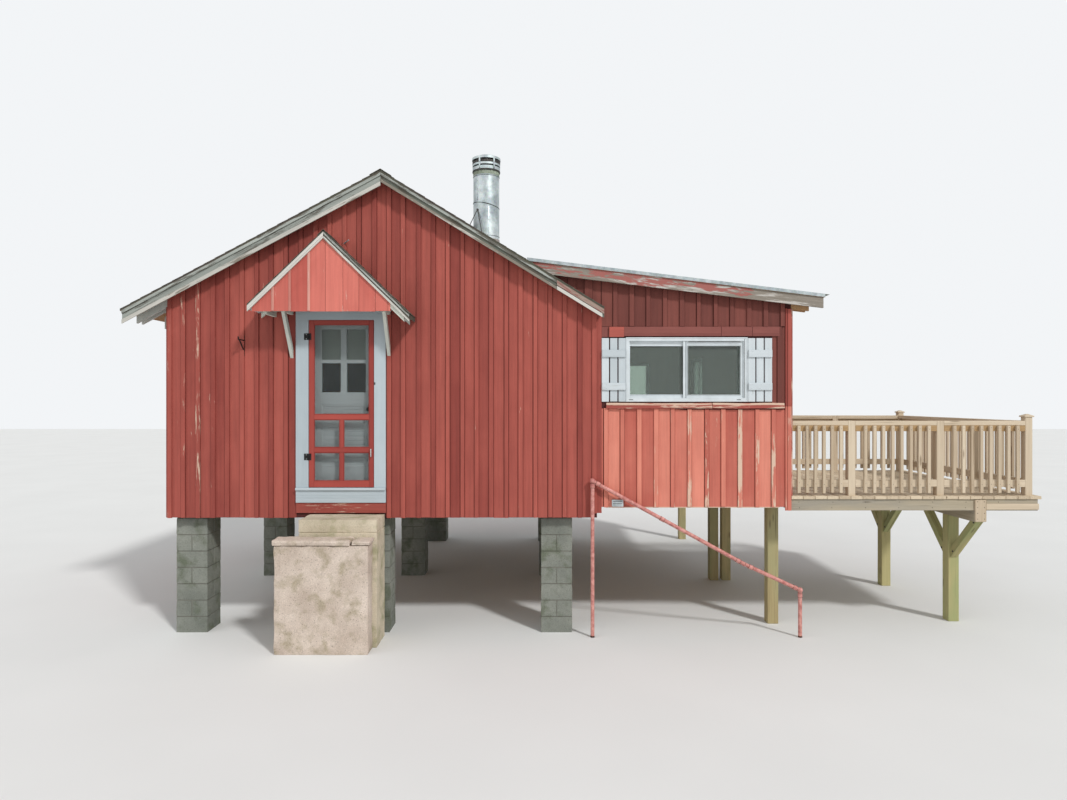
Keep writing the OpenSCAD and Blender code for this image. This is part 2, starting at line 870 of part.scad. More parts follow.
module hood_roof() {
    color("dimgray") place() {
        band(hood_x - hood_l, top_h(hood_x - hood_l), hood_x - 1, top_h(hood_x - 1),
            0, hood_under, hood_y - hood_lip, 0);
        band(hood_x + 1, top_h(hood_x + 1), hood_x + hood_r, top_h(hood_x + hood_r),
            0, hood_under, hood_y - hood_lip, 0);
    }
}

module hood_front_boards() {
    color("indianred") place()
        hood_outline(hood_boards_x0, hood_boards_x1, hood_foot_z, hood_y, hood_y + hood_board_t);
}

module hood_trim() {
    color("gainsboro") place() {
        band(hood_x - hood_l, top_h(hood_x - hood_l), hood_x - 1, top_h(hood_x - 1),
            hood_seat, hood_seat + hood_trim_h * k_h, hood_y - hood_board_t, hood_y);
        band(hood_x + 1, top_h(hood_x + 1), hood_x + hood_r, top_h(hood_x + hood_r),
            hood_seat, hood_seat + hood_trim_h * k_h, hood_y - hood_board_t, hood_y);
    }
}

module hood_frame() {
    head_y = hood_y + hood_board_t;
    color("white") place() {
        intersection() {
            hood_outline(hood_boards_x0, hood_boards_x1, hood_foot_z, head_y, head_y + arm_w);
            block(hood_boards_x0, hood_boards_x1, head_y, head_y + arm_w, hood_foot_z, hood_foot_z + arm_h);
        }
        for (x = [arm_x0, arm_x1])
            block(x, x + arm_w, head_y + arm_w, 0, hood_foot_z, hood_foot_z + arm_h);
    }
}

module hood_brackets() {
    reach = hood_d - bracket_back;
    color("white") place()
        for (x = [arm_x0, arm_x1])
            side_slab([[0, bracket_z], [0, bracket_z + bracket_foot_h], [bracket_head - reach, hood_foot_z],
                [-reach, hood_foot_z]], x, x + arm_w);
}

// Front doorway
module door_casing() {
    color("white") place()
        difference() {
            union() {
                difference() {
                    block(cas_x0 - casing_l, cas_x1 + casing_r, -casing_t, 0, sill_z, cas_top + casing_head);
                    block(cas_x0, cas_x1, -casing_t - 1, -door_gap, sill_z - 1, cas_top);
                }
                block(open_x0, open_x1, -1, wall_t, sill_z, open_top);
            }
            block(jamb_x0 + stop_w, jamb_x1 - stop_w, -casing_t, wall_t + 1, sill_z - 1, jamb_top - stop_w);
            block(jamb_x0, jamb_x1, -casing_t, inner_y0 - door_gap - stop_t, sill_z - 1, jamb_top);
            block(jamb_x0, jamb_x1, inner_y0 - door_gap, wall_t + 1, sill_z - 1, jamb_top);
        }
}

module door_sill_boards() {
    x0 = cas_x0 - casing_l;
    x1 = cas_x1 + casing_r;
    sill_foot = sill_z - sill_h;
    color("white") place() {
        block(x0, x1, -casing_t, 0, sill_foot, sill_z);
        block(x0, x1, -lip_out, 0, sill_z - lip_t, sill_z);
        block(open_x0, open_x1, -1, wall_t, floor_z, sill_z);
        block(x0, x1, -rake_t, 0, sill_foot - 2 - apron_h, sill_foot - 2);
    }
}

// Hinge halves stand on their pin's axis, with the faces they are screwed to on the side given by face
module hinge_fixed(h, leaf, face) {
    knuckle = h / 3;
    y = face > 0 ? hinge_off - hinge_plate : -hinge_off;
    translate([-leaf, y, 0]) cube([leaf - hinge_r - leaf_gap, hinge_plate, h]);
    for (z = [0, 2 * knuckle])
        translate([0, 0, z]) {
            cylinder(r = hinge_r, h = knuckle);
            translate([-hinge_r - knuckle_web, face > 0 ? 0 : -hinge_off, 0])
                cube([hinge_r + knuckle_web, hinge_off, knuckle]);
        }
    cylinder(r = pin_r, h = h);
}

module hinge_moving(h, leaf, face) {
    knuckle = h / 3;
    y = face > 0 ? hinge_off - hinge_plate : -hinge_off;
    difference() {
        union() {
            translate([hinge_r + leaf_gap, y, 0]) cube([leaf - hinge_r - leaf_gap, hinge_plate, h]);
            translate([0, 0, knuckle + knuckle_gap]) cylinder(r = hinge_r, h = knuckle - 2 * knuckle_gap);
            translate([0, y, knuckle + knuckle_gap])
                cube([hinge_r + knuckle_web, hinge_plate, knuckle - 2 * knuckle_gap]);
        }
        translate([0, 0, -1]) cylinder(r = pin_r + pin_play, h = h + 2);
    }
}

module screen_door_frame() {
    color("firebrick") place()
        difference() {
            block(door_x, door_x + screen_w, -casing_t, screen_t - casing_t, screen_z, screen_z + screen_h);
            for (p = screen_panes)
                block(p[0], p[1], -casing_t - 1, 1, p[2], p[3]);
        }
}
module screen_door_mesh() {
    y = screen_t / 2 - casing_t;
    color("gray") place()
        for (p = screen_panes)
            block(p[0], p[1], y, y + 1, p[2], p[3]);
}

module screen_door_hardware() {
    pull_x = door_x + screen_w - screen_stile_r / 2;
    color("silver") place() {
        for (z = screen_hinges)
            translate([screen_pin[0], screen_pin[1], z]) hinge_moving(screen_hinge_h, screen_leaf, 1);
        translate([pull_x, -casing_t, screen_z + pull_up]) {
            for (z = [0, pull_h])
                translate([0, 0, z]) rotate([90, 0, 0]) cylinder(r = pull_r - 1, h = pull_out);
            translate([0, -pull_out, 1 - pull_r]) cylinder(r = pull_r, h = pull_h + 2 * (pull_r - 1));
        }
    }
}

module hinge_leaves() {
    color("black") place() {
        for (z = screen_hinges)
            translate([screen_pin[0], screen_pin[1], z]) hinge_fixed(screen_hinge_h, screen_fixed_leaf, 1);
        for (z = inner_hinges)
            translate([inner_pin[0], inner_pin[1], z]) hinge_fixed(inner_hinge_h, inner_fixed_leaf, -1);
    }
}

module inner_door() {
    color("white") place()
        difference() {
            block(inner_x0, inner_x1, inner_y0, wall_t, screen_z, inner_top);
            for (p = inner_panes)
                block(p[0], p[1], inner_y0 - 1, wall_t + 1, p[2], p[3]);
            for (p = [inner_panes[0], inner_panes[1]])
                block(p[0], p[1], inner_y0 - 1, inner_y0 + inner_panel_deep,
                    screen_z + inner_panel[0], screen_z + inner_panel[1]);
        }
}

module inner_door_glass() {
    y = inner_y0 + inner_t / 2;
    color("lightblue") place()
        for (p = inner_panes)
            block(p[0], p[1], y - 2, y + 2, p[2], p[3]);
}

module knob() {
    rotate_extrude() polygon(knob_profile);
}

module inner_door_hardware() {
    knob_x = inner_x1 - inner_stile / 2 - knob_in;
    knob_z = screen_z + knob_up;
    color("black") place() {
        for (z = inner_hinges)
            translate([inner_pin[0], inner_pin[1], z]) hinge_moving(inner_hinge_h, inner_leaf, -1);
        translate([knob_x, inner_y0, knob_z]) rotate([90, 0, 0]) knob();
        translate([knob_x, wall_t, knob_z]) rotate([-90, 0, 0]) knob();
    }
}

// Windows
module front_window_frame() {
    y0 = -win_proud - 1;
    y1 = frame_deep + 1;
    glass_z0 = win_z + glass_foot;
    glass_z1 = win_z + win_h - glass_top;
    color("white") place()
        difference() {
            block(win_x0, win_x1, -win_proud, frame_deep, win_z, win_z + win_h);
            block(win_x0 + frame_face, meeting_x + meeting_w / 2, y0, sash_deep_l,
                win_z + frame_face, win_z + win_h - frame_face);
            block(meeting_x - meeting_w / 2, win_x1 - frame_face, y0, sash_deep_r,
                win_z + frame_face, win_z + win_h - frame_face);
            block(win_x0 + glass_l, meeting_x, y0, y1, glass_z0, glass_z1);
            block(meeting_x + meeting_w, win_x1 - glass_r, y0, y1, glass_z0, glass_z1);
        }
}

// Plain sliding window of a hidden side, with its middle at the origin and its outer face at y = 0
module plain_window(w, h) {
    difference() {
        translate([-w / 2, -win_proud, 0]) cube([w, win_proud + frame_deep, h]);
        for (x = [-w / 2 + side_face, side_face / 2])
            translate([x, -win_proud - 1, side_face])
                cube([w / 2 - side_face * 1.5, win_proud + frame_deep + 2, h - 2 * side_face]);
    }
}

module plain_glass(w, h) {
    for (x = [-w / 2 + side_face, side_face / 2])
        translate([x, glass_y, side_face]) cube([w / 2 - side_face * 1.5, glass_t, h - 2 * side_face]);
}

module at_side_windows() {
    translate([0, main_d / 2, win_z]) rotate([0, 0, -90]) children();
    translate([add_x1, side_win_y, win_z]) rotate([0, 0, 90]) children();
    for (x = [main_w / 2, main_w + add_w / 2])
        translate([x, main_d, win_z]) rotate([0, 0, 180]) children();
}

module side_window_frames() {
    color("white") place() at_side_windows() plain_window(side_win_w, win_h);
}

module window_glass() {
    glass_z0 = win_z + glass_foot;
    glass_z1 = win_z + win_h - glass_top;
    glass_y1 = glass_y + glass_t;
    color("lightblue") place() {
        at_side_windows() plain_glass(side_win_w, win_h);
        block(win_x0 + glass_l, meeting_x, glass_y, glass_y1, glass_z0, glass_z1);
        block(meeting_x + meeting_w, win_x1 - glass_r, glass_y, glass_y1, glass_z0, glass_z1);
        block(add_x1 - glass_y1, add_x1 - glass_y, deck_pane[0], deck_pane[1], deck_pane[2], deck_pane[3]);
    }
}

// Shutter of three boards on two battens
module shutter() {
    board = shutter_w * shutter_board_share;
    pitch = (shutter_w - board) / 2;
    for (i = [0:2])
        translate([i * pitch, -shutter_t, 0]) cube([board, shutter_t, win_h - shutter_short]);
    for (z = [shutter_batten_low, win_h - shutter_batten_down])
        translate([shutter_batten_in, -2 * shutter_t, z])
            cube([shutter_w - 2 * shutter_batten_in, shutter_t, shutter_batten_h]);
}

module shutters() {
    color("white") place() {
        translate([win_x0 - shutter_w - shutter_gap, 0, win_z]) shutter();
        translate([win_x1 + shutter_gap, 0, win_z]) shutter();
    }
}

module wall_trim_boards() {
    x0 = win_x0 - shutter_w;
    x1 = win_x1 + shutter_w;
    trim_z = win_z + win_h + trim_up;
    drip_z = win_z - drip_down;
    corner_x = add_x1 - corner_w;
    corner_z = add_siding_z - corner_down;
    corner_top = seat_a + rafter_h * k_a + corner_gap;
    color("firebrick") place() {
        block(x0 + trim_off_l, x1 + trim_off_r, -rake_t, 0, trim_z, trim_z + trim_h);
        block(x0 + drip_off_l, x1 + drip_off_r, -drip_out, 0, drip_z - drip_h, drip_z);
        front_slab([[corner_x, corner_z], [add_x1, corner_z], [add_x1, top_a(add_x1) - corner_top],
            [corner_x, top_a(corner_x) - corner_top]], -corner_t, 0);
    }
}

module deck_door() {
    face = add_x1;
    y0 = deck_door_y;
    y1 = deck_door_y + deck_door_w;
    leaf_z0 = floor_z + deck_casing_t;
    leaf_z1 = open_top - jamb_t;
    color("white") place()
        difference() {
            union() {
                block(face - wall_t, face, y0, y1, floor_z, open_top);
                block(face, face + deck_casing_t, y0 - deck_casing_w, y1 + deck_casing_w,
                    deck_z, open_top + deck_casing_w);
            }
            block(face - deck_door_in, face + deck_casing_t + 1, y0 + jamb_t, y1 - jamb_t, leaf_z0, leaf_z1);
            block(face - wall_t - 1, face - deck_door_in - inner_t, y0 + jamb_t, y1 - jamb_t,
                leaf_z0, leaf_z1);
            block(face - wall_t - 1, face + 1, deck_pane[0], deck_pane[1], deck_pane[2], deck_pane[3]);
        }
}

// Deck
// Rail posts, from a little below their feet where they cut the frame
module rail_post_blanks(below) {
    half = rail_post_w / 2;
    for (x = rail_cols, y = [rail_y0, rail_y1])
        block(x - half, x + half, y - half, y + half, rim_z - below, rail_top);
    for (y = [rail_rows[1], rail_rows[2]])
        block(rail_x1 - half, rail_x1 + half, y - half, y + half, rim_z - below, rail_top);
}

module deck_floor() {
    color("burlywood") place()
        difference() {
            block(add_x1, deck_x1 + deck_lip, -deck_nose, deck_d + deck_nose, deck_top, deck_z);
            rail_post_blanks(0);
        }
}

module deck_frame() {
    joist_rows = ceil((deck_d - rim_t) / joist_spacing);
    pitch = (deck_d - rim_t) / joist_rows;
    color("tan") place()
        difference() {
            union() {
                for (i = [0:joist_rows])
                    translate([add_x1, i * pitch, rim_z]) cube([deck_w, rim_t, rim_h]);
                block(add_x1, add_x1 + rim_t, 0, deck_d, rim_z, deck_top);
                block(deck_x1 - rim_t, deck_x1, 0, deck_d, rim_z, deck_top);
            }
            rail_post_blanks(1);
        }
}

module deck_beam() {
    color("tan") place() block(beam_x, beam_x + post_w, 0, deck_d, beam_z, rim_z);
}

// Braced posts under the deck's beam; a brace's reach is the same along the post and along the beam
module deck_posts() {
    reach = deck_post_front;
    x0 = beam_x + brace_in;
    x1 = beam_x + post_w - brace_in;
    z0 = beam_z - reach;
    color("tan") place()
        for (y = [deck_post_front, deck_post_back]) {
            block(beam_x, beam_x + post_w, y, y + post_w, 0, beam_z);
            side_slab([[y, z0], [y, z0 + brace_cut], [y - reach + brace_cut, beam_z],
                [y - reach, beam_z]], x0, x1);
            side_slab([[y + post_w, z0], [y + post_w, z0 + brace_cut],
                [y + post_w + reach - brace_cut, beam_z], [y + post_w + reach, beam_z]], x0, x1);
        }
}

// Rail panel of a given length along x, with its balusters on the side towards -y
module rail_panel(length) {
    n = floor(length / baluster_step);
    translate([0, bar_t, rail_h - bar_t]) cube([length, rail_post_w, bar_t]);
    translate([0, bar_t, rail_h - bar_t - rail_board_h]) cube([length, bar_t, rail_board_h]);
    translate([0, bar_t, low_rail_z]) cube([length, bar_t, rail_board_h]);
    for (i = [1:n])
        translate([i * length / (n + 1) - bar_t / 2, 0, baluster_foot])
            cube([bar_t, bar_t, rail_h - baluster_foot - baluster_down]);
}

module deck_rails() {
    half = rail_post_w / 2;
    starts = [add_x1, rail_cols[0] + half, rail_cols[1] + half];
    ends = [rail_cols[0] - half, rail_cols[1] - half, rail_cols[2] - half];
    color("burlywood") place() {
        for (i = [0:rail_bays - 1]) {
            translate([starts[i], 0, deck_z]) rail_panel(ends[i] - starts[i]);
            translate([ends[i], deck_d, deck_z]) rotate([0, 0, 180]) rail_panel(ends[i] - starts[i]);
            translate([deck_x1, rail_rows[i] + half, deck_z]) rotate([0, 0, 90])
                rail_panel(rail_rows[i + 1] - rail_rows[i] - rail_post_w);
        }
    }
}

module rail_posts() {
    color("burlywood") place() {
        rail_post_blanks(0);
        for (y = [rail_y0, rail_y1])
            block(rail_x1 - rail_post_w / 2, rail_x1 + rail_post_w / 2,
                y - rail_post_w / 2, y + rail_post_w / 2, rail_top, cap_post_z);
    }
}

module rail_post_caps() {
    wide = rail_post_w + 2 * post_cap_out;
    color("tan") place()
        for (y = [rail_y0, rail_y1])
            translate([rail_x1, y, cap_post_z]) {
                translate([-wide / 2, -wide / 2, 0]) cube([wide, wide, post_cap_t]);
                translate([0, 0, post_cap_t]) linear_extrude(post_point_h, scale = post_point_share)
                    square(wide - 2 * post_point_in, center = true);
            }
}

// Entry step with its lower stone, run down to the lowest ground
module entry_step() {
    stone_x = step_x - (stone_w - step_w) - stone_left;
    stone_y = -step_d - stone_d;
    lip_z = stone_z - stone_lip_h;
    color("darkgray") place() {
        block(step_x, step_x + step_w, -step_d, 0, 0, step_z);
        block(stone_x + stone_in, stone_x + stone_w - stone_in, stone_y + stone_in, -step_d + 1, 0, lip_z);
        block(stone_x, stone_x + stone_w, stone_y, -step_d + 1, lip_z, stone_z);
    }
}

// Pipe handrail down the slope
module pipe_between(a, b) {
    run = b[0] - a[0];
    rise = b[1] - a[1];
    translate([a[0], pipe_y, a[1]])
        rotate([0, atan2(run, rise), 0]) cylinder(r = rail_r, h = sqrt(run * run + rise * rise));
}

module pipe_handrail() {
    bracket_top = pipe_top[1] + (pipe_bracket_x - pipe_top[0]) * pipe_slope;
    color("indianred") place() {
        translate([pipe_top[0], pipe_y, 0]) cylinder(r = rail_r, h = pipe_top[1]);
        translate([pipe_end[0], pipe_y, 0]) cylinder(r = rail_r, h = pipe_end[1]);
        pipe_between(pipe_top, pipe_kink);
        pipe_between(pipe_kink, pipe_end);
        for (p = [pipe_kink, pipe_end])
            translate([p[0], pipe_y, p[1]]) sphere(r = rail_r + pipe_joint_out);
        translate([pipe_top[0], pipe_y, pipe_top[1]]) sphere(r = pipe_ball_r);
        translate([pipe_bracket_x, 0, bracket_top]) rotate([90, 0, 0]) {
            cylinder(r = pipe_bracket_r, h = -pipe_y);
            cylinder(r = pipe_plate_r, h = pipe_plate_t);
        }
    }
}

// Iron hanger left of the door and the junction box under the window
module wall_fittings() {
    hanger_x = door_x - hanger_off;
    hanger_z = bracket_z + hanger_up;
    x0 = hanger_x + hanger_bar[0];
    x1 = hanger_x + hanger_bar[1];
    junction_x = main_w + junction_off;
    junction_z = add_siding_z + junction_up;
    color("dimgray") place() {
        block(hanger_x, hanger_x + hanger_w, -hanger_t, 0, hanger_z, hanger_z + hanger_h);
        block(x0, x1, -hanger_out, -hanger_seat, hanger_z + hanger_arm[0], hanger_z + hanger_arm[1]);
        side_slab([for (p = hanger_brace) [p[0], hanger_z + p[1]]], x0, x1);
        block(x0, x1, -hanger_out, hanger_hook_t - hanger_out,
            hanger_z + hanger_hook[0], hanger_z + hanger_hook[1]);
        block(junction_x, junction_x + junction_w, -junction_d, 0, junction_z, junction_z + junction_h);
    }
}

block_piers();
floor_beams();
main_floor_joists();
addition_floor_joists();
floor_boards();
addition_posts();
front_wall_left();
front_wall_right();
front_wall_over_door();
front_wall_under_door();
left_wall();
back_wall();
addition_front_wall();
addition_side_wall();
addition_back_wall();
eave_beam();
ridge_board();
rafters();
main_roof_left();
main_roof_right();
main_rake_boards();
addition_roof();
addition_rake_boards();
chimney_pipe();
chimney_cap();
chimney_flashing();
hood_roof();
hood_front_boards();
hood_trim();
hood_frame();
hood_brackets();
door_casing();
door_sill_boards();
screen_door_frame();
screen_door_mesh();
screen_door_hardware();
hinge_leaves();
inner_door();
inner_door_glass();
inner_door_hardware();
front_window_frame();
side_window_frames();
window_glass();
shutters();
wall_trim_boards();
deck_door();
deck_floor();
deck_frame();
deck_beam();
deck_posts();
deck_rails();
rail_posts();
rail_post_caps();
entry_step();
pipe_handrail();
wall_fittings();
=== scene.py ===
"""Lakeside cabin on piers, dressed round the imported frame. Places are in millimetres from the front wall's
left corner: x along the front, y towards the back and z up from the lowest ground, as in the source."""
import math
import random

import bpy
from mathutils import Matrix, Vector


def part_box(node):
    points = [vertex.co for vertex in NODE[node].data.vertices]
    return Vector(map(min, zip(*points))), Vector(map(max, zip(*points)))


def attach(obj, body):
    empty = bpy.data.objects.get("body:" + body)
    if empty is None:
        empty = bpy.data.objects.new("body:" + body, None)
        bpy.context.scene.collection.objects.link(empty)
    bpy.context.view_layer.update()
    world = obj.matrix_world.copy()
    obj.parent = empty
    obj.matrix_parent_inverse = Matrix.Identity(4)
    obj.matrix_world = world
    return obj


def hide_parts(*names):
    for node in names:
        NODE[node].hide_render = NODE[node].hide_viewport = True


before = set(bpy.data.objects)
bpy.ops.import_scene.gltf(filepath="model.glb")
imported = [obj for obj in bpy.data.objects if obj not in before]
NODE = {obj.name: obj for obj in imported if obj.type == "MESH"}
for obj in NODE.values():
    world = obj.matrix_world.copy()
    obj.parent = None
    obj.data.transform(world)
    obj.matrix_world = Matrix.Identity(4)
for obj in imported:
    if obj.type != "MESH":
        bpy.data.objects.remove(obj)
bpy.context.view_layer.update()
ROW0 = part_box("front_wall_left")[0]
X, Y, Z = Vector((1, 0, 0)), Vector((0, 1, 0)), Vector((0, 0, 1))


def at(x, y, z):
    return Vector((ROW0[0] + x / 1000, ROW0[1] + y / 1000, z / 1000))


def local_box(node):
    lo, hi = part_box(node)
    return [((lo[i] - ROW0[i] * (i < 2)) * 1000, (hi[i] - ROW0[i] * (i < 2)) * 1000) for i in range(3)]


# Sizes shared with the source
MAIN_W, MAIN_D, ADD_X1 = 5234, 6400, 7600
RIDGE_X, RIDGE_Z = 2623, 5620
ADD_ROOF_Z = 4472
HOOD_X, HOOD_Z, HOOD_D = 2016, 4833, 400
SLOPE_L, SLOPE_R, SLOPE_A, SLOPE_H = 0.534, 0.611, 0.122, 0.966
K_L, K_R, K_A, K_H = [math.hypot(1, slope) for slope in (SLOPE_L, SLOPE_R, SLOPE_A, SLOPE_H)]
ROOF_T, ADD_ROOF_T, HOOD_T, RAFTER_H = 44, 58, 38, 140
UNDER_L, UNDER_R, UNDER_A = ROOF_T * K_L, ROOF_T * K_R, ADD_ROOF_T * K_A
EAVE_L, EAVE_R, ADD_EAVE, HOOD_EAVE_L, HOOD_EAVE_R = -495, 5307, 7970, 1131, 3014
SIDING_Z, ADD_SIDING_Z, PIER_TOP = 1436, 1565, 1418
DOOR_X, DOOR_Z = (1729, 2517), (1809, 3841)
CASING_X = (1570, 2662)
WIN_X, WIN_Z, SIDE_W = (5585, 7070), (2848, 3635), 900
DRIP_Z, HEAD_Z = (2766, 2833), (3648, 3763)
CHIMNEY = Vector((3784, 1530, 0))
PIPE_Y = -75
DECK_X, DECK_D, DECK_Z = (7600, 10614), 3260, 1699
RIM = (1521, 1661)
BEAM_X = (9836, 9976)
RAIL_H, POST_TOP, CAP_Z = 915, 2614, 2661
RAIL_COLS = (8361, 9446.5, 10531.5)
RAIL_ROWS = (82.5, 1114, 2146, 3177.5)
HALF_POST = 44.5
TIMBER = 140
PIER_COLS, PIER_ROWS = (240, 2490, 4746), (300, 3200, 6100)


def top_l(x):
    return RIDGE_Z - SLOPE_L * (RIDGE_X - x)


def top_r(x):
    return RIDGE_Z - SLOPE_R * (x - RIDGE_X)


def top_a(x):
    return ADD_ROOF_Z - SLOPE_A * (x - MAIN_W)


def top_h(x):
    return HOOD_Z - SLOPE_H * abs(x - HOOD_X)


# Shader helpers
def srgb(*rgb):
    return tuple(((v / 255 + 0.055) / 1.055) ** 2.4 for v in rgb) + (1.0,)


class Shader:
    """A procedural material; boards give it their own grain coordinates, tone and wear."""

    def __init__(self, name, roughness=0.7, metallic=0.0, specular=0.3):
        self.mat = bpy.data.materials.new(name)
        self.mat.use_nodes = True
        self.tree = self.mat.node_tree
        self.tree.nodes.clear()
        out = self.tree.nodes.new("ShaderNodeOutputMaterial")
        self.bsdf = self.tree.nodes.new("ShaderNodeBsdfPrincipled")
        self.tree.links.new(self.bsdf.outputs[0], out.inputs[0])
        self.set("Roughness", roughness)
        self.set("Metallic", metallic)
        self.set("Specular IOR Level", specular)

    def put(self, socket, value):
        if isinstance(value, bpy.types.NodeSocket):
            self.tree.links.new(value, socket)
        else:
            socket.default_value = value

    def set(self, name, value):
        self.put(self.bsdf.inputs[name], value)

    def node(self, kind, inputs, out=0, **settings):
        """Adds a node with its settings and inputs, and gives one of its outputs."""
        node = self.tree.nodes.new("ShaderNode" + kind)
        for key, value in settings.items():
            setattr(node, key, value)
        for key, value in inputs.items():
            self.put(node.inputs[key], value)
        return node.outputs[out]

    def value(self, name, out="Fac"):
        return self.node("Attribute", {}, out, attribute_name=name)

    def place(self, use_grain=False):
        return self.value("grain", "Vector") if use_grain else self.node("TexCoord", {}, "Object")

    def stretch(self, vector, scale):
        """Noise and cells take three numbers as a stretch along each axis."""
        if isinstance(scale, tuple):
            return self.node("Mapping", {"Vector": vector, "Scale": scale}), 1
        return vector, scale

    def noise(self, vector, scale, detail=4.0, rough=0.55, warp=0.0):
        vector, scale = self.stretch(vector, scale)
        return self.node("TexNoise", {"Vector": vector, "Scale": scale, "Detail": detail,
                                      "Roughness": rough, "Distortion": warp}, "Fac")

    def cells(self, vector, scale, out="Distance"):
        vector, scale = self.stretch(vector, scale)
        return self.node("TexVoronoi", {"Vector": vector, "Scale": scale}, out)

    def ramp(self, fac, start, end, first=0.0, last=1.0):
        node = self.tree.nodes.new("ShaderNodeValToRGB")
        self.put(node.inputs["Fac"], fac)
        for mark, place, value in zip(node.color_ramp.elements, (start, end), (first, last)):
            mark.position = place
            mark.color = (value, value, value, 1.0)
        return node.outputs["Color"]

    def mix(self, fac, a, b, mode="MIX"):
        return self.node("Mix", {0: fac, 6: a, 7: b}, 2, data_type="RGBA", blend_type=mode)

    def stain(self, colour, fac, start, end, most, tint):
        return self.mix(self.ramp(fac, start, end, 0.0, most), colour, srgb(*tint))

    def shade(self, colour, fac, start, end, darkest):
        return self.mix(1.0, colour, self.ramp(fac, start, end, darkest), "MULTIPLY")

    def maths(self, op, a, b):
        return self.node("Math", {0: a, 1: b}, operation=op, use_clamp=op in ("ADD", "SUBTRACT", "MULTIPLY"))

    def times(self, value, share):
        return self.maths("MULTIPLY", value, share)

    def blend(self, a, share_a, b, share_b):
        return self.maths("ADD", self.times(a, share_a), self.times(b, share_b))

    def paint(self, colour, height=None, strength=0.3, depth=0.002):
        """Gives the surface its colour and bumps, and returns the finished material."""
        self.set("Base Color", colour)
        if height is not None:
            self.set("Normal", self.node("Bump", {"Strength": strength, "Distance": depth, "Height": height}))
        return self.mat


def painted_wood(name, dark, light, bare, wear_low, streak, roughness, peel, use_grain=True):
    """Paint on sawn boards: two tones by board, grain streaks, grime, and paint gone where wear is high."""
    s = Shader(name, roughness)
    grain = s.place(use_grain)
    tone = s.value("tone") if use_grain else s.noise(grain, 0.7, 2)
    wear = s.value("wear") if use_grain else 0.2
    streaks = s.noise(grain, (26, 26, 1.1), 6, 0.62)
    mixed = s.blend(tone, 0.55, s.noise(grain, 2.2, 4), 0.5)
    colour = s.mix(s.ramp(mixed, 0.18, 0.85), srgb(*dark), srgb(*light))
    colour = s.shade(colour, streaks, 0.3, 0.62, 1.0 - 0.34 * streak)
    lost = s.blend(s.noise(grain, (34, 34, 3.2), 7, 0.7, 0.5), 0.62, s.noise(grain, (5, 5, 1.4), 3), 0.38)
    gone = s.ramp(s.maths("ADD", lost, s.times(wear, 0.22)), wear_low, wear_low + 0.05)
    colour = s.mix(s.times(gone, peel), colour, srgb(*bare))
    return s.paint(colour, s.maths("SUBTRACT", streaks, s.times(gone, 0.5)), 0.35, 0.003)


def bare_wood(name, dark, light, crack, grey=None, use_grain=True):
    """Unpainted timber with long grain, checks, knots and board-to-board variation."""
    s = Shader(name, 0.8)
    grain = s.place(use_grain)
    tone = s.value("tone") if use_grain else 0.5
    rings = s.noise(grain, (38, 38, 1.4), 6, 0.6, 0.6)
    colour = s.mix(s.ramp(s.blend(tone, 0.4, rings, 0.62), 0.25, 0.8), srgb(*dark), srgb(*light))
    if grey:
        colour = s.stain(colour, s.noise(grain, (4, 4, 1), 3), 0.42, 0.6, 0.8, grey)
    cracks = s.ramp(s.noise(grain, (60, 60, 1.0), 3, 0.5), 0.30, 0.345, 1.0, 0.0)
    colour = s.mix(s.times(cracks, 0.75), colour, srgb(*crack))
    knots = s.ramp(s.cells(grain, (9, 9, 1.6)), 0.07, 0.13, 1.0, 0.0)
    colour = s.mix(s.times(knots, 0.7), colour, srgb(*crack))
    return s.paint(colour, s.maths("SUBTRACT", rings, cracks), 0.4, 0.003)


def peeling():
    """Weathered board with white paint left in patches and red paint over it."""
    s = Shader("rake_peeling", 0.78)
    grain = s.place(True)
    streaks = s.noise(grain, (40, 40, 2.6), 7, 0.7, 0.4)
    patch = s.noise(grain, (9, 9, 1.1), 5, 0.6)
    wood = s.mix(streaks, srgb(104, 97, 88), srgb(164, 155, 143))
    white = s.mix(s.ramp(s.blend(patch, 0.6, streaks, 0.4), 0.50, 0.54), wood, srgb(188, 183, 176))
    left = s.blend(s.noise(grain, (28, 28, 5), 5), 0.75, streaks, 0.25)
    red = s.ramp(s.maths("SUBTRACT", left, s.times(s.value("wear"), 0.16)), 0.44, 0.49)
    colour = s.mix(red, white, s.mix(s.value("tone"), srgb(142, 84, 78), srgb(174, 110, 102)))
    return s.paint(colour, s.maths("ADD", streaks, s.times(red, 0.6)), 0.5, 0.004)


def roofing(name, roughness, dark, light, grit_scale, darkest, stains, strength, depth):
    """Gritty covering; a stain is a noise's scale and detail, a ramp's start, end and most, and a tint."""
    s = Shader(name, roughness)
    grit = s.noise(s.place(), grit_scale, 2, 0.6)
    colour = s.mix(s.value("tone"), srgb(*dark), srgb(*light))
    for scale, detail, start, end, most, tint in stains:
        colour = s.stain(colour, s.noise(s.place(), scale, detail, 0.6), start, end, most, tint)
    return s.paint(s.shade(colour, grit, 0.3, 0.7, darkest), grit, strength, depth)


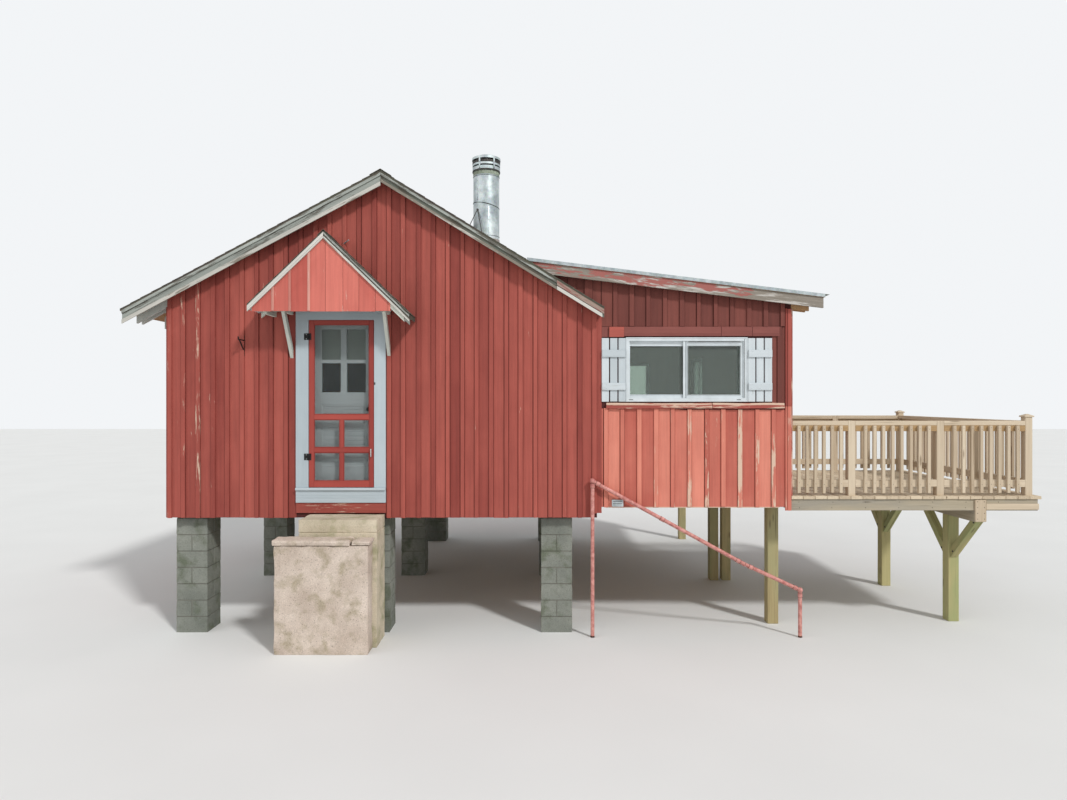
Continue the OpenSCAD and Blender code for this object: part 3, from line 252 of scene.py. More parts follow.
def masonry(name, dark, light, tint, grit_scale, big, depth=0.004, pores=True):
    s = Shader(name, 0.93)
    place = s.place()
    cloud = s.noise(place, big, 6, 0.6)
    grit = s.noise(place, grit_scale, 3, 0.65)
    colour = s.mix(s.ramp(cloud, 0.3, 0.7), srgb(*dark), srgb(*light))
    colour = s.mix(s.times(s.value("tone"), 0.25), colour, srgb(*dark))
    colour = s.stain(colour, s.noise(place, 5.5, 5), 0.5, 0.68, 0.7, tint)
    colour = s.shade(colour, grit, 0.3, 0.65, 0.72)
    height = s.blend(grit, 0.6, cloud, 0.5)
    if pores:
        holes = s.ramp(s.cells(place, grit_scale / 3), 0.12, 0.22)
        colour = s.shade(colour, holes, 0.0, 1.0, 0.66)
        height = s.times(height, holes)
    return s.paint(colour, height, 0.6, depth)


def metal(name, dark, light, smooth, rough, scale, metallic=1.0, depth=0.0008):
    s = Shader(name, metallic=metallic)
    place = s.place()
    cloud = s.noise(place, scale, 5, 0.6)
    colour = s.mix(s.ramp(cloud, 0.35, 0.66), srgb(*dark), srgb(*light))
    colour = s.mix(0.12, colour, s.cells(place, scale * 9, "Color"), "SOFT_LIGHT")
    s.set("Roughness", s.ramp(cloud, 0.3, 0.7, smooth, rough))
    return s.paint(colour, cloud, 0.2, depth)


def glass(name, tint, clear=0.9, specular=0.5):
    s = Shader(name, 0.03, specular=specular)
    s.set("Transmission Weight", clear)
    s.set("IOR", 1.45)
    return s.paint(srgb(*tint), s.noise(s.place(), 2.4, 2), 0.08, 0.01)


def vinyl(name, pale, dull):
    s = Shader(name, 0.35, specular=0.45)
    cloud = s.noise(s.place(), 6, 4)
    return s.paint(s.mix(s.ramp(cloud, 0.4, 0.7), srgb(*pale), srgb(*dull)), cloud, 0.05, 0.001)


def insect_screen():
    """Woven mesh: threads over a see-through ground, one thread to about 1.6 mm."""
    s = Shader("insect_screen", 0.55, 0.3)
    half_pitch, thread = 0.0008, 0.00026
    across = [s.node("SeparateXYZ", {0: s.place()}, axis) for axis in (0, 2)]
    threads = [s.maths("LESS_THAN", s.maths("PINGPONG", way, half_pitch), thread) for way in across]
    s.set("Alpha", s.maths("ADD", s.times(s.maths("MAXIMUM", *threads), 0.3), 0.08))
    return s.paint(s.mix(s.noise(s.place(), 3, 4), srgb(40, 46, 45), srgb(60, 67, 66)))


def blind():
    s = Shader("blind_cloth", 0.85)
    weave = s.noise(s.place(), (260, 1, 260), 2)
    colour = s.mix(s.ramp(weave, 0.4, 0.6), srgb(196, 206, 198), srgb(216, 224, 216))
    return s.paint(colour, weave, 0.2, 0.0008)


# Paints: darker and lighter colour, mixed by board tone, the wood under them, wear where they go, streaks,
# roughness and peeling
CREAM, PUTTY, OLD = (214, 190, 168), (150, 146, 134), (146, 142, 128)
RED = painted_wood("siding_red", (136, 60, 52), (176, 90, 78), CREAM, 0.665, 0.6, 0.66, 0.85)
RED_DARK = painted_wood("siding_red_shaded", (104, 54, 47), (128, 70, 61), CREAM, 0.70, 0.6, 0.7, 0.8)
# Lighter copy of the siding red, painted sunlight: used on the lit lower boards of the addition, the drip's
# top, the corner's foot and the foot strip
RED_PAINTED_SUNLIGHT = painted_wood("siding_painted_sunlight", (182, 94, 80), (222, 138, 118), CREAM, 0.665, 0.5, 0.66, 0.85)
RED_DULL = painted_wood("trim_dull", (122, 68, 62), (152, 90, 82), CREAM, 0.72, 0.5, 0.7, 0.8)
RED_TRIM = painted_wood("trim_red", (132, 50, 46), (168, 72, 64), CREAM, 0.68, 0.5, 0.6, 0.8)
HOOD_RED = painted_wood("hood_red", (178, 82, 72), (216, 122, 108), (222, 206, 192), 0.66, 0.45, 0.6, 0.9)
HOOD_WORN = painted_wood("hood_worn", (188, 118, 106), (222, 164, 150), (230, 204, 190), 0.62, 0.5, 0.65, 0.9)
RAKE_RED = painted_wood("rake_red_worn", (112, 70, 64), (166, 112, 104), (158, 142, 130), 0.56, 0.8, 0.8, 0.9)
# Wall face seen in the siding's gaps, painted dark red-brown: painted shade in the gaps, with some dirt
GROOVE_DIRT_AND_SHADE = painted_wood("siding_groove_dirt_and_shade", (64, 28, 26), (84, 38, 34), (96, 60, 52), 0.8, 0.4, 0.8, 0.5, False)
DOOR_WOOD = painted_wood("door_red_wood", (142, 56, 50), (172, 76, 66), CREAM, 0.74, 0.4, 0.5, 0.8)
DOOR_WHITE = painted_wood("door_white", (196, 208, 208), (222, 231, 231), (140, 138, 128), 0.8, 0.15, 0.5,
                          0.5)
CASING_WHITE = painted_wood("casing_white", (158, 169, 174), (187, 197, 202), PUTTY, 0.74, 0.22, 0.5, 0.5)
HOOD_WHITE = painted_wood("hood_white", (184, 190, 182), (214, 217, 206), OLD, 0.66, 0.3, 0.6, 0.7)
HOOD_PLAIN = painted_wood("hood_white_flat", (176, 180, 174), (204, 206, 198), OLD, 0.72, 0.25, 0.6, 0.6,
                          False)
WHITE = painted_wood("paint_white", (180, 189, 193), (208, 215, 218), PUTTY, 0.68, 0.22, 0.5, 0.7)
WHITE_PLAIN = painted_wood("paint_white_flat", (182, 190, 194), (208, 215, 218), (156, 152, 140), 0.72, 0.2,
                           0.45, 0.6, False)
RAKE = painted_wood("rake_grey", (122, 126, 119), (176, 181, 174), (92, 88, 80), 0.60, 0.75, 0.75, 0.9)
RAKE_WORN = painted_wood("rake_worn", (96, 100, 90), (146, 151, 140), (92, 84, 74), 0.60, 0.8, 0.8, 0.9)
RAKE_EDGE = painted_wood("rake_moulding", (184, 181, 172), (217, 214, 206), (122, 114, 102), 0.62, 0.6, 0.7,
                         0.9)
DECKING = bare_wood("deck_boards", (180, 162, 137), (218, 201, 174), (120, 101, 78))
RAIL_WOOD = bare_wood("rail_wood", (178, 159, 134), (214, 198, 174), (124, 104, 82))
RAIL_SHADE = bare_wood("rail_shade", (150, 120, 82), (196, 164, 122), (104, 80, 54))
RIM_WOOD = bare_wood("rim_wood", (138, 127, 108), (184, 172, 149), (88, 77, 62), (150, 144, 132))
POST_WOOD = bare_wood("post_wood", (152, 136, 98), (200, 184, 138), (94, 82, 60), (162, 156, 116))
LEG_WOOD = bare_wood("leg_wood", (150, 141, 98), (196, 186, 136), (98, 86, 60), (150, 156, 108))
RAW = bare_wood("frame_wood", (158, 122, 84), (196, 158, 116), (112, 82, 54), use_grain=False)
INNER = bare_wood("inner_boards", (150, 112, 74), (184, 146, 102), (104, 74, 46), use_grain=False)
PEELING = peeling()
SHINGLES = roofing("shingles", 0.92, (84, 78, 72), (122, 114, 105), 420, 0.62,
                   [(0.9, 5, 0.42, 0.68, 0.55, (96, 102, 82))], 0.6, 0.003)
ROLL = roofing("roll_roofing", 0.9, (120, 131, 124), (146, 156, 146), 380, 0.72,
               [(1.1, 5, 0.40, 0.66, 0.7, (104, 110, 92)),
                ((0.8, 9, 1), 4, 0.46, 0.66, 0.45, (86, 88, 82))], 0.5, 0.002)
CONCRETE = masonry("step_concrete", (190, 178, 154), (232, 219, 196), (156, 154, 116), 150, 2.2)
STONE = masonry("step_stone", (192, 175, 160), (232, 217, 203), (158, 146, 118), 90, 3.0)
BLOCK = masonry("pier_block", (112, 116, 108), (158, 160, 150), (92, 100, 78), 120, 1.4)
MORTAR = masonry("pier_mortar", (104, 104, 96), (134, 133, 122), (84, 88, 72), 200, 3.0, 0.002, False)
GALVANISED = metal("galvanised", (150, 160, 162), (206, 214, 214), 0.34, 0.5, 7, 0.85)
DARK_METAL = metal("dark_metal", (50, 48, 46), (84, 80, 76), 0.5, 0.7, 14, 0.6)
IRON = metal("black_iron", (22, 22, 23), (44, 43, 42), 0.45, 0.65, 30, 0.4)
RUSTY = metal("rusty_iron", (52, 38, 32), (98, 62, 46), 0.6, 0.85, 26, 0.3)
SILVER = metal("silver_metal", (168, 170, 170), (216, 216, 214), 0.25, 0.4, 40)
PIPE = metal("pipe_paint", (172, 104, 98), (216, 158, 148), 0.5, 0.7, 22, 0.1, 0.0015)
GREY_BOX = metal("grey_box", (158, 166, 170), (196, 202, 204), 0.45, 0.6, 18, 0.3)
FLASHING = metal("flashing_metal", (140, 126, 122), (184, 176, 172), 0.5, 0.7, 8, 0.4)
DRIP_METAL = metal("drip_edge", (146, 156, 158), (188, 196, 198), 0.5, 0.7, 12, 0.1)
# Greenish mottled band under the chimney cap: a painted reflection
PAINTED_REFLECTION = metal("chimney_painted_reflection", (118, 128, 110), (164, 172, 156), 0.6, 0.75, 30, 0.1)
GLASS = glass("window_glass", (196, 210, 200))
CLEAR_GLASS = glass("clear_glass", (236, 241, 238), 0.99, 0.15)
HAZY_GLASS = glass("hazy_glass", (206, 216, 208), 0.64, 0.3)
VINYL = vinyl("white_vinyl", (212, 219, 222), (196, 203, 205))
VINYL_SHADE = vinyl("sash_vinyl", (166, 173, 173), (150, 156, 154))
SCREEN = insect_screen()
BLIND = blind()


# Mesh builders
class Pieces:
    """Collects boards and other shapes into one joined mesh, with grain, tone and wear on each vertex."""

    def __init__(self, name, slot, mats, body="cabin", seed=1, replaces="", smooth=False):
        self.name, self.slot, self.body, self.smooth = name, slot, body, smooth
        self.nodes = replaces.split()
        self.mats = mats if isinstance(mats, list) else [mats]
        self.verts, self.faces, self.mat_of = [], [], []
        self.grain, self.tone, self.wear = [], [], []
        self.rng = random.Random(seed)

    def add(self, verts, faces, grain=None, tone=None, wear=0.0, mat=0):
        tone = self.rng.random() if tone is None else tone
        base = len(self.verts)
        shift = Vector([self.rng.uniform(-20, 20) for _ in range(3)])
        self.verts += [at(*v) for v in verts]
        self.faces += [[base + i for i in f] for f in faces]
        self.mat_of += [mat] * len(faces)
        self.grain += [Vector(g) / 1000 + shift for g in grain or verts]
        self.tone += [tone] * len(verts)
        self.wear += wear if isinstance(wear, list) else [wear] * len(verts)

    def board(self, start, end, wide, thick, w, t, edge=2.0, slant=(0, 0), parts=1, warp=0.0, **kw):
        """Board between two middle points, w along wide and t along thick; slant cuts its ends."""
        start, end = Vector(start), Vector(end)
        run = (end - start).length
        along = (end - start) / run
        wide, thick = Vector(wide).normalized(), Vector(thick).normalized()
        edge = min(edge, w / 3, t / 3, run / 4)
        phase = self.rng.uniform(0, 6.28)
        wave = self.rng.uniform(0.6, 1.4)

        def ring(shrink):
            a, b = w / 2 - shrink, t / 2 - shrink
            if edge <= 0:
                return [(-a, -b), (a, -b), (a, b), (-a, b)]
            c = max(edge - shrink, 0.01)
            return [(-a + c, -b), (a - c, -b), (a, -b + c), (a, b - c), (a - c, b), (-a + c, b),
                    (-a, b - c), (-a, -b + c)]

        ends = [[(0, edge * 0.6)], [(run, edge * 0.6)]] if edge > 0 else [[], []]
        rings = ends[0] + [(edge + (run - 2 * edge) * i / parts, 0) for i in range(parts + 1)] + ends[1]
        verts, grain = [], []
        for s, shrink in rings:
            share = s / run
            lift = warp * math.sin(phase + wave * 6.28 * share)
            for u, v in ring(shrink):
                cut = slant[0] * u * (1 - share) + slant[1] * u * share
                verts.append(start + along * (s + cut) + wide * u + thick * (v + lift))
                grain.append((u, v, s))
        n = len(ring(0))
        faces = [list(range(n))[::-1], [len(verts) - n + i for i in range(n)]]
        faces += loops(len(rings), n)
        if along.dot(wide.cross(thick)) < 0:
            faces = [f[::-1] for f in faces]
        self.add(verts, faces, grain, **kw)

    def box(self, x, y, z, long="z", edge=2.0, **kw):
        """Board filling three ranges, with its grain along one axis."""
        mid = [(r[0] + r[1]) / 2 for r in (x, y, z)]
        size = [r[1] - r[0] for r in (x, y, z)]
        k = "xyz".index(long)
        start, end = list(mid), list(mid)
        start[k] -= size[k] / 2
        end[k] += size[k] / 2
        w, t = [(1, 2), (0, 2), (0, 1)][k]
        self.board(start, end, (X, Y, Z)[w], (X, Y, Z)[t], size[w], size[t], edge=edge, **kw)

    def prism(self, verts, flip=False, **kw):
        """Straight prism between two outlines, listed one after the other."""
        n = len(verts) // 2
        faces = [list(range(n)), list(range(n, 2 * n))[::-1]]
        faces += [[i, n + i, n + (i + 1) % n, (i + 1) % n] for i in range(n)]
        self.add(verts, [f[::-1] for f in faces] if flip else faces, **kw)

    def lathe(self, centre, profile, turns=32, axis=Z, **kw):
        """Closed or open surface of revolution from (radius, distance along the axis) pairs."""
        axis = Vector(axis).normalized()
        side = X if abs(axis.x) < 0.9 else Y
        side = (side - axis * side.dot(axis)).normalized()
        other = axis.cross(side)
        verts = []
        for r, d in profile:
            for i in range(turns):
                a = 2 * math.pi * i / turns
                ray = side * math.cos(a) + other * math.sin(a)
                verts.append(Vector(centre) + axis * d + ray * max(r, 0.01))
        faces = loops(len(profile), turns)
        if profile[0][0] > 0.05:
            faces.append(list(range(turns))[::-1])
        if profile[-1][0] > 0.05:
            faces.append([(len(profile) - 1) * turns + i for i in range(turns)])
        self.add(verts, faces, **kw)

    def tube(self, a, b, r, turns=16, **kw):
        a, b = Vector(a), Vector(b)
        self.lathe(a, [(r, 0), (r, (b - a).length)], turns, b - a, **kw)

    def screw(self, centre, axis, r=4.0, mat=1):
        self.lathe(centre, [(r, -1), (r, 0.5), (r * 0.7, 1.0), (0, 0.3)], 8, axis, mat=mat, tone=0.5)

    def mesh(self):
        mesh = bpy.data.meshes.new(self.name)
        mesh.from_pydata(self.verts, [], self.faces)
        for mat in self.mats:
            mesh.materials.append(mat)
        mesh.polygons.foreach_set("material_index", self.mat_of)
        mesh.polygons.foreach_set("use_smooth", [self.smooth] * len(self.faces))
        layer = mesh.attributes.new("grain", "FLOAT_VECTOR", "POINT")
        layer.data.foreach_set("vector", [c for g in self.grain for c in g])
        for name, values in (("tone", self.tone), ("wear", self.wear)):
            mesh.attributes.new(name, "FLOAT", "POINT").data.foreach_set("value", values)
        mesh.validate()
        mesh.update()
        return mesh

    def finish(self, edge=0.0):
        obj = link(self.name, self.mesh())
        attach(obj, self.body)
        if self.nodes:
            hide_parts(*self.nodes)
        if self.smooth:
            obj.data.set_sharp_from_angle(angle=math.radians(35))
        if edge:
            bevel(obj, edge)
        return obj


def loops(rings, n):
    """Faces between closed rings of n points each."""
    return [[r * n + i, r * n + (i + 1) % n, (r + 1) * n + (i + 1) % n, (r + 1) * n + i]
            for r in range(rings - 1) for i in range(n)]


def link(name, data):
    obj = bpy.data.objects.new(name, data)
    bpy.context.scene.collection.objects.link(obj)
    return obj


def bevel(obj, width):
    mod = obj.modifiers.new("edges", "BEVEL")
    mod.width = width
    mod.segments = 2
    mod.limit_method = "ANGLE"
    mod.angle_limit = math.radians(40)


def dress(node, mats, edge=0.0, pick=None):
    """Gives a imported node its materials, by face where pick chooses the second, and softens its edges."""
    obj = NODE[node]
    obj.data.materials.clear()
    for mat in mats if isinstance(mats, list) else [mats]:
        obj.data.materials.append(mat)
    if pick:
        for face in obj.data.polygons:
            face.material_index = int(pick(face))
    if edge:
        bevel(obj, edge)


# Siding: boards proud of the imported wall, with battens over their joints and a narrow groove beside, where
# the wall's face shows painted dark as shade and dirt
BATTEN_W, BATTEN_OUT, BOARD_OUT = 52, 24, 6
MAIN_PITCH, ADD_PITCH = 179, 204
CASING = local_box("door_casing")
DECK_DOOR = local_box("deck_door")
ADD_MID = MAIN_W + 1183
SIDE_WIN_Y = 4608


class Wall:
    """One face of siding: u runs along the wall, out is the way it faces, cuts are ranges of u and z."""

    def __init__(self, place, along, out, cuts=()):
        self.place, self.along, self.out, self.cuts = Vector((*place, 0)), along, out, cuts

    def strips(self, u0, u1, z0, z1):
        """Ranges of u and z that stay once the cut-outs are taken off."""
        marks = sorted({u0, u1} | {u for c in self.cuts for u in (c[0], c[1]) if u0 < u < u1})
        for a, b in zip(marks, marks[1:]):
            mid = (a + b) / 2
            free = [(z0, z1)]
            for c in self.cuts:
                if c[0] < mid < c[1]:
                    free = [p for lo, hi in free for p in ((lo, min(hi, c[2])), (max(lo, c[3]), hi))
                            if p[1] - p[0] > 12]
            for lo, hi in free:
                yield a, b, lo, hi

    def spot(self, u, z, out):
        return self.place + self.along * u + Z * z + self.out * out

    def strip(self, pieces, u0, u1, z0, z1, top, lo_out, hi_out, **kw):
        """Board up to z1, or up to the slope of top where z1 is a function of its two edges."""
        for a, b, lo, hi in self.strips(u0, u1, z0, z1(u0, u1) if callable(z1) else z1):
            mid = (a + b) / 2
            reach = (lo_out + hi_out) / 2
            slant = 0.0
            if top and hi > lo and hi >= z1(u0, u1) - 1:
                hi, slant = top(mid), (top(b) - top(a)) / (b - a)
            pieces.board(self.spot(mid, lo, reach), self.spot(mid, hi, reach), self.along, self.out,
                         b - a, hi_out - lo_out, slant=(0, slant), **kw)

    def clad(self, boards, battens, u0, u1, first, pitch, low, top, wear=0.0, mat=0, batten_high=0.0,
             edges=(0, 0)):
        """Boards from low up to top with a batten on every joint, and on the ends that edges names."""
        rng = boards.rng
        wear_at = wear if callable(wear) else lambda u: wear
        joints = []
        u = first
        while u < u1 - 30:
            joints.append(u + rng.uniform(-6, 6))
            u += pitch

        def peak(a, b):
            return max(top(a), top(b))

        marks = [u0] + joints + [u1]
        for i in range(len(marks) - 1):
            a = marks[i] + (rng.uniform(1.5, 5.5) + BATTEN_W / 2 if i else 0)
            b = marks[i + 1] - (rng.uniform(1.5, 5.5) + BATTEN_W / 2 if i < len(marks) - 2 else 0)
            if b - a > 8:
                self.strip(boards, a, b, low + rng.uniform(-3, 3), peak, top, 0.0,
                           BOARD_OUT + rng.uniform(-1, 1.5), edge=0, tone=rng.random(),
                           wear=wear_at(marks[i]) * rng.uniform(0.1, 0.4), mat=mat)
        places = joints + [u0 + BATTEN_W / 2] * edges[0] + [u1 - BATTEN_W / 2] * edges[1]
        for j in places:
            wide = BATTEN_W + rng.uniform(-5, 5)
            high = batten_high + (rng.uniform(0, 12) if batten_high else 0)
            cap = (lambda a, b, h=high: min(top(a), top(b)) - h) if batten_high else peak
            self.strip(battens, j - wide / 2, j + wide / 2, low + rng.uniform(-4, 6), cap,
                       (lambda u, h=high: top(u) - h), 0.0, BATTEN_OUT + rng.uniform(-2, 1), edge=2.2,
                       tone=rng.random(), wear=wear_at(j) * rng.uniform(0.5, 1.6), mat=mat)


def gable_top(x):
    return min(top_l(x) - UNDER_L, top_r(x) - UNDER_R) - 3


def addition_top(x):
    return top_a(x) - UNDER_A - 3


def window_cut(middle):
    """Opening in the siding of a hidden side, round a window and its casing."""
    return middle - SIDE_W / 2 - 61, middle + SIDE_W / 2 + 61, WIN_Z[0] - 61, WIN_Z[1] + 61


def front_siding():
    boards = Pieces("front_siding_boards", "red_siding", [RED, RED_DARK, RED_PAINTED_SUNLIGHT], seed=11)
    battens = Pieces("front_siding_battens", "red_siding", [RED, RED_DARK, RED_PAINTED_SUNLIGHT], seed=12)
    main = Wall((0, 0), X, -Y, [(CASING[0][0] - 1, CASING[0][1] + 1, 0, CASING[2][1] + 1)])
    joint_x, field_x, field_end = 5204, 5290, 7527
    main.clad(boards, battens, 0, joint_x, 190, MAIN_PITCH, SIDING_Z, gable_top,
              lambda x: 0.35 if x < 700 or 3100 < x < 3500 else 0.15, edges=(1, 0))

    # The board between the two rooms, and the addition's three fields round its window
    plain = Wall((0, 0), X, -Y)
    plain.clad(boards, battens, joint_x, field_x, joint_x, 900, 1493,
               lambda x: min(addition_top(x), gable_top(x) if x < EAVE_R else math.inf))
    # The lower field under the window takes the lighter red, painted sunlight
    plain.clad(boards, battens, field_x, field_end, 5343, ADD_PITCH, ADD_SIDING_Z,
               lambda x: DRIP_Z[0] - 14 * (x > 6250), lambda x: 0.3 if x < 6300 else 0.7, 2, -13)
    plain.clad(boards, battens, field_x, field_end, 5449, ADD_PITCH, HEAD_Z[1] + 2, addition_top, mat=1)
    for face, way in ((0, -1), (MAIN_D, 1)):
        for a in range(4570, 5280, 102):
            b = min(a + 98, 5300)
            outline = [(x, top_r(x) + 14) for x in (a, b)] + [(x, addition_top(x)) for x in (b, a)]
            depths = sorted((face, face + way * (21 if (a // 102) % 2 else 5)))
            boards.prism([(x, y, z) for y in depths for x, z in outline], tone=boards.rng.random(), mat=1)
    plain.clad(boards, battens, 7367, field_end, 7460, 900, DRIP_Z[1], lambda x: HEAD_Z[1], mat=1)
    boards.finish()
    battens.finish()


def side_siding():
    boards = Pieces("side_siding_boards", "red_siding", RED, seed=21)
    battens = Pieces("side_siding_battens", "red_siding", RED, seed=22)
    left_top = top_l(0) - UNDER_L - RAFTER_H * K_L - 4
    right_top = top_a(ADD_X1) - UNDER_A - RAFTER_H * K_A - 4
    left = Wall((0, 0), Y, -X, [window_cut(MAIN_D / 2)])
    left.clad(boards, battens, 0, MAIN_D, 190, MAIN_PITCH, SIDING_Z, lambda y: left_top, 0.3, edges=(1, 1))
    back = Wall((0, MAIN_D), X, Y, [window_cut(MAIN_W / 2), window_cut(ADD_MID)])
    back.clad(boards, battens, 0, MAIN_W, 190, MAIN_PITCH, SIDING_Z, gable_top, 0.3, edges=(1, 0))
    back.clad(boards, battens, MAIN_W, EAVE_R, MAIN_W, ADD_PITCH, ADD_SIDING_Z,
              lambda x: min(addition_top(x), top_r(x) - UNDER_R - 3), 0.3)
    back.clad(boards, battens, EAVE_R, ADD_X1, MAIN_W + ADD_PITCH, ADD_PITCH, ADD_SIDING_Z, addition_top,
              0.3, edges=(0, 1))
    door_cut = (DECK_DOOR[1][0] - 1, DECK_DOOR[1][1] + 1, 0, DECK_DOOR[2][1] + 1)
    right = Wall((ADD_X1, 0), Y, X, [door_cut, (-60, DECK_D + 22, 0, DECK_Z + 3), window_cut(SIDE_WIN_Y)])
    right.clad(boards, battens, 0, MAIN_D, ADD_PITCH, ADD_PITCH, ADD_SIDING_Z, lambda y: right_top, 0.5,
               edges=(1, 1))
    boards.finish()
    battens.finish()


# Roofs: courses of tabs on the slopes, lapped strips on the addition, and layered rake boards
class Slope:
    """A roof surface, measured up from its lower edge, along the depth, and out from its face."""

    def __init__(self, x, z, way, pitch):
        self.low = Vector((x, 0, z))
        self.pitch = pitch
        self.up = Vector((way, 0, pitch)).normalized()
        self.out = Vector((-way * pitch, 0, 1)).normalized()

    def spot(self, run, y, out):
        return self.low + self.up * run + self.out * out + Y * y


ROOF_Y = (-165, MAIN_D + 165)
ADD_ROOF_Y = (-125, MAIN_D + 125)
MEET_X = 4381
LEFT = Slope(EAVE_L, top_l(EAVE_L), 1, SLOPE_L)
RIGHT = Slope(EAVE_R, top_r(EAVE_R), -1, SLOPE_R)
LOW = Slope(ADD_EAVE, top_a(ADD_EAVE), -1, SLOPE_A)
HOOD_L = Slope(HOOD_EAVE_L, top_h(HOOD_EAVE_L), 1, SLOPE_H)
HOOD_R = Slope(HOOD_EAVE_R, top_h(HOOD_EAVE_R), -1, SLOPE_H)
RUN_L, RUN_R = (RIDGE_X - EAVE_L) * K_L, (EAVE_R - RIDGE_X) * K_R
HOOD_RUN_L, HOOD_RUN_R = (HOOD_X - HOOD_EAVE_L) * K_H, (HOOD_EAVE_R - HOOD_X) * K_H
MEET_RUN, RUN_A = (EAVE_R - MEET_X) * K_R, (ADD_EAVE - MEET_X) * K_A
EXPOSED, TAB = 143, 305


def courses(pieces, slope, run0, run1, y0, y1, hole=None):
    """Tabs in staggered rows; a round hole is left as a centre's run and y with a radius."""
    rng = pieces.rng
    row = 0
    run = run0
    while run < run1 - 20:
        top = min(run + EXPOSED + 18, run1)
        y = y0 - (row % 2) * TAB / 2 - rng.uniform(0, 30)
        while y < y1:
            a, b = max(y + 3, y0), min(y + TAB - 3, y1)
            mid = (a + b) / 2
            if b - a > 10 and not (hole and math.hypot((run + top) / 2 - hole[0], mid - hole[1]) < hole[2]):
                lift = 6.5 + rng.uniform(0, 2.5)
                low = run - rng.uniform(-3, 4) * (row > 0)
                pieces.board(slope.spot(low, mid, lift), slope.spot(top, mid, 2.5), Y, slope.out, b - a, 5,
                             edge=0)
            y += TAB
        run += EXPOSED
        row += 1


def ridge_caps(pieces, x, z, pitch_l, pitch_r, y0, y1, half):
    """Cap tabs bent over a ridge, each lapping the one behind it."""
    faces = [(0, 1, 4, 3), (1, 2, 5, 4), (7, 6, 9, 10), (8, 7, 10, 11), (6, 0, 3, 9), (2, 8, 11, 5),
             (1, 0, 6, 7), (2, 1, 7, 8), (3, 4, 10, 9), (4, 5, 11, 10)]
    y = y0
    while y < y1 - 20:
        verts = [(x + side * half, end, z - abs(side) * half * pitch + lift + 2 * (side == 0) + thick)
                 for end, lift in ((y, 17), (min(y + 190, y1), 9)) for thick in (5, 0)
                 for side, pitch in ((-1, pitch_l), (0, 0), (1, pitch_r))]
        pieces.add(verts, faces)
        y += 145


def rake_strip(pieces, slope, run0, run1, out0, out1, y0, y1, **kw):
    """Board along a slope's edge, with plumb ends, between two depths below the surface."""
    mid = (out0 + out1) / 2
    y = (y0 + y1) / 2
    shift = slope.pitch * mid
    ends = [slope.spot(run + shift, y, mid) for run in (run0, run1)]
    pieces.board(*ends, slope.out, Y, out1 - out0, y1 - y0, slant=(slope.pitch, slope.pitch), parts=10,
                 warp=1.2, **kw)


def roofs():
    tabs = Pieces("main_shingles", "shingle", SHINGLES, seed=31)
    hole = ((EAVE_R - CHIMNEY.x) * K_R, CHIMNEY.y, 200)
    courses(tabs, LEFT, 0, RUN_L - 6, *ROOF_Y)
    courses(tabs, RIGHT, MEET_RUN + 12, RUN_R - 6, *ROOF_Y, hole)
    courses(tabs, RIGHT, 0, MEET_RUN + 12, ROOF_Y[0], ADD_ROOF_Y[0] - 2)
    courses(tabs, RIGHT, 0, MEET_RUN + 12, ADD_ROOF_Y[1] + 2, ROOF_Y[1])
    ridge_caps(tabs, RIDGE_X, RIDGE_Z, SLOPE_L, SLOPE_R, *ROOF_Y, 130)
    tabs.finish()
    hood_y = (-HOOD_D - 30, -1)
    cover = Pieces("hood_shingles", "shingle", SHINGLES, seed=32)
    courses(cover, HOOD_L, 0, HOOD_RUN_L - 4, *hood_y)
    courses(cover, HOOD_R, 0, HOOD_RUN_R - 4, *hood_y)
    ridge_caps(cover, HOOD_X, HOOD_Z, SLOPE_H, SLOPE_H, *hood_y, 70)
    cover.finish()

    strips = Pieces("addition_roll_strips", "roll_roofing", ROLL, seed=33)
    step = RUN_A / 4
    tilted = (LOW.up - LOW.out * 0.004).normalized()
    laps = [(LOW.spot(step * (i + 0.5) - 25, 0, 4.5), tilted, LOW.out, step + 50, 1.2) for i in range(4)]
    laps.append((RIGHT.spot(MEET_RUN + 85, 0, 11), RIGHT.up, RIGHT.out, 190, 1.5))
    for mid, wide, out, width, warp in laps:
        ends = [mid + Y * y for y in ADD_ROOF_Y]
        strips.board(*ends, wide, out, width, 4, edge=1, parts=30, warp=warp)
    strips.finish()

    # Each strip's slope, run, depth below the roof surface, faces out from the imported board, and look
    red_end, left_end, right_end = 664, RUN_L - 1, RUN_R - 1
    face_y, back_y, edge_y = (-3, 12), (-22, -6), (-6, 9)
    layers = ((LEFT, 15 * K_L, left_end, -50, -12, face_y, 0.35, 0, 0.9),
              (LEFT, 15 * K_L, left_end, -150, -16.2, (-22, -4), 0.35, 0, 0.5),
              (LEFT, 15 * K_L, left_end, -156, -112, (-4, 9), 0.35, 1, None),
              (RIGHT, 0, red_end, -68, -4, face_y, 0.5, 2, 0.7),
              (RIGHT, 26, red_end, -112, -74, edge_y, 0.2, 1, 0.8),
              (RIGHT, red_end + 1, right_end, -46, -12, face_y, 0.6, 0, 0.9),
              (RIGHT, 0, right_end, -104, -16.2, back_y, 0.5, 3, None),
              (RIGHT, red_end + 1, right_end, -114, -84, edge_y, 0.8, 1, None))
    rakes = Pieces("main_rake_layers", "grey_rake", [RAKE, RAKE_EDGE, RAKE_RED, RAKE_WORN], seed=34,
                   replaces="main_rake_boards")
    for face, way in ((-150, -1), (MAIN_D + 150, 1)):
        for slope, run0, run1, out0, out1, faces, wear, mat, tone in layers:
            y0, y1 = sorted(face + way * y for y in faces)
            rake_strip(rakes, slope, run0, run1, out0, out1, y0, y1, wear=wear, mat=mat, tone=tone)
    rakes.finish()


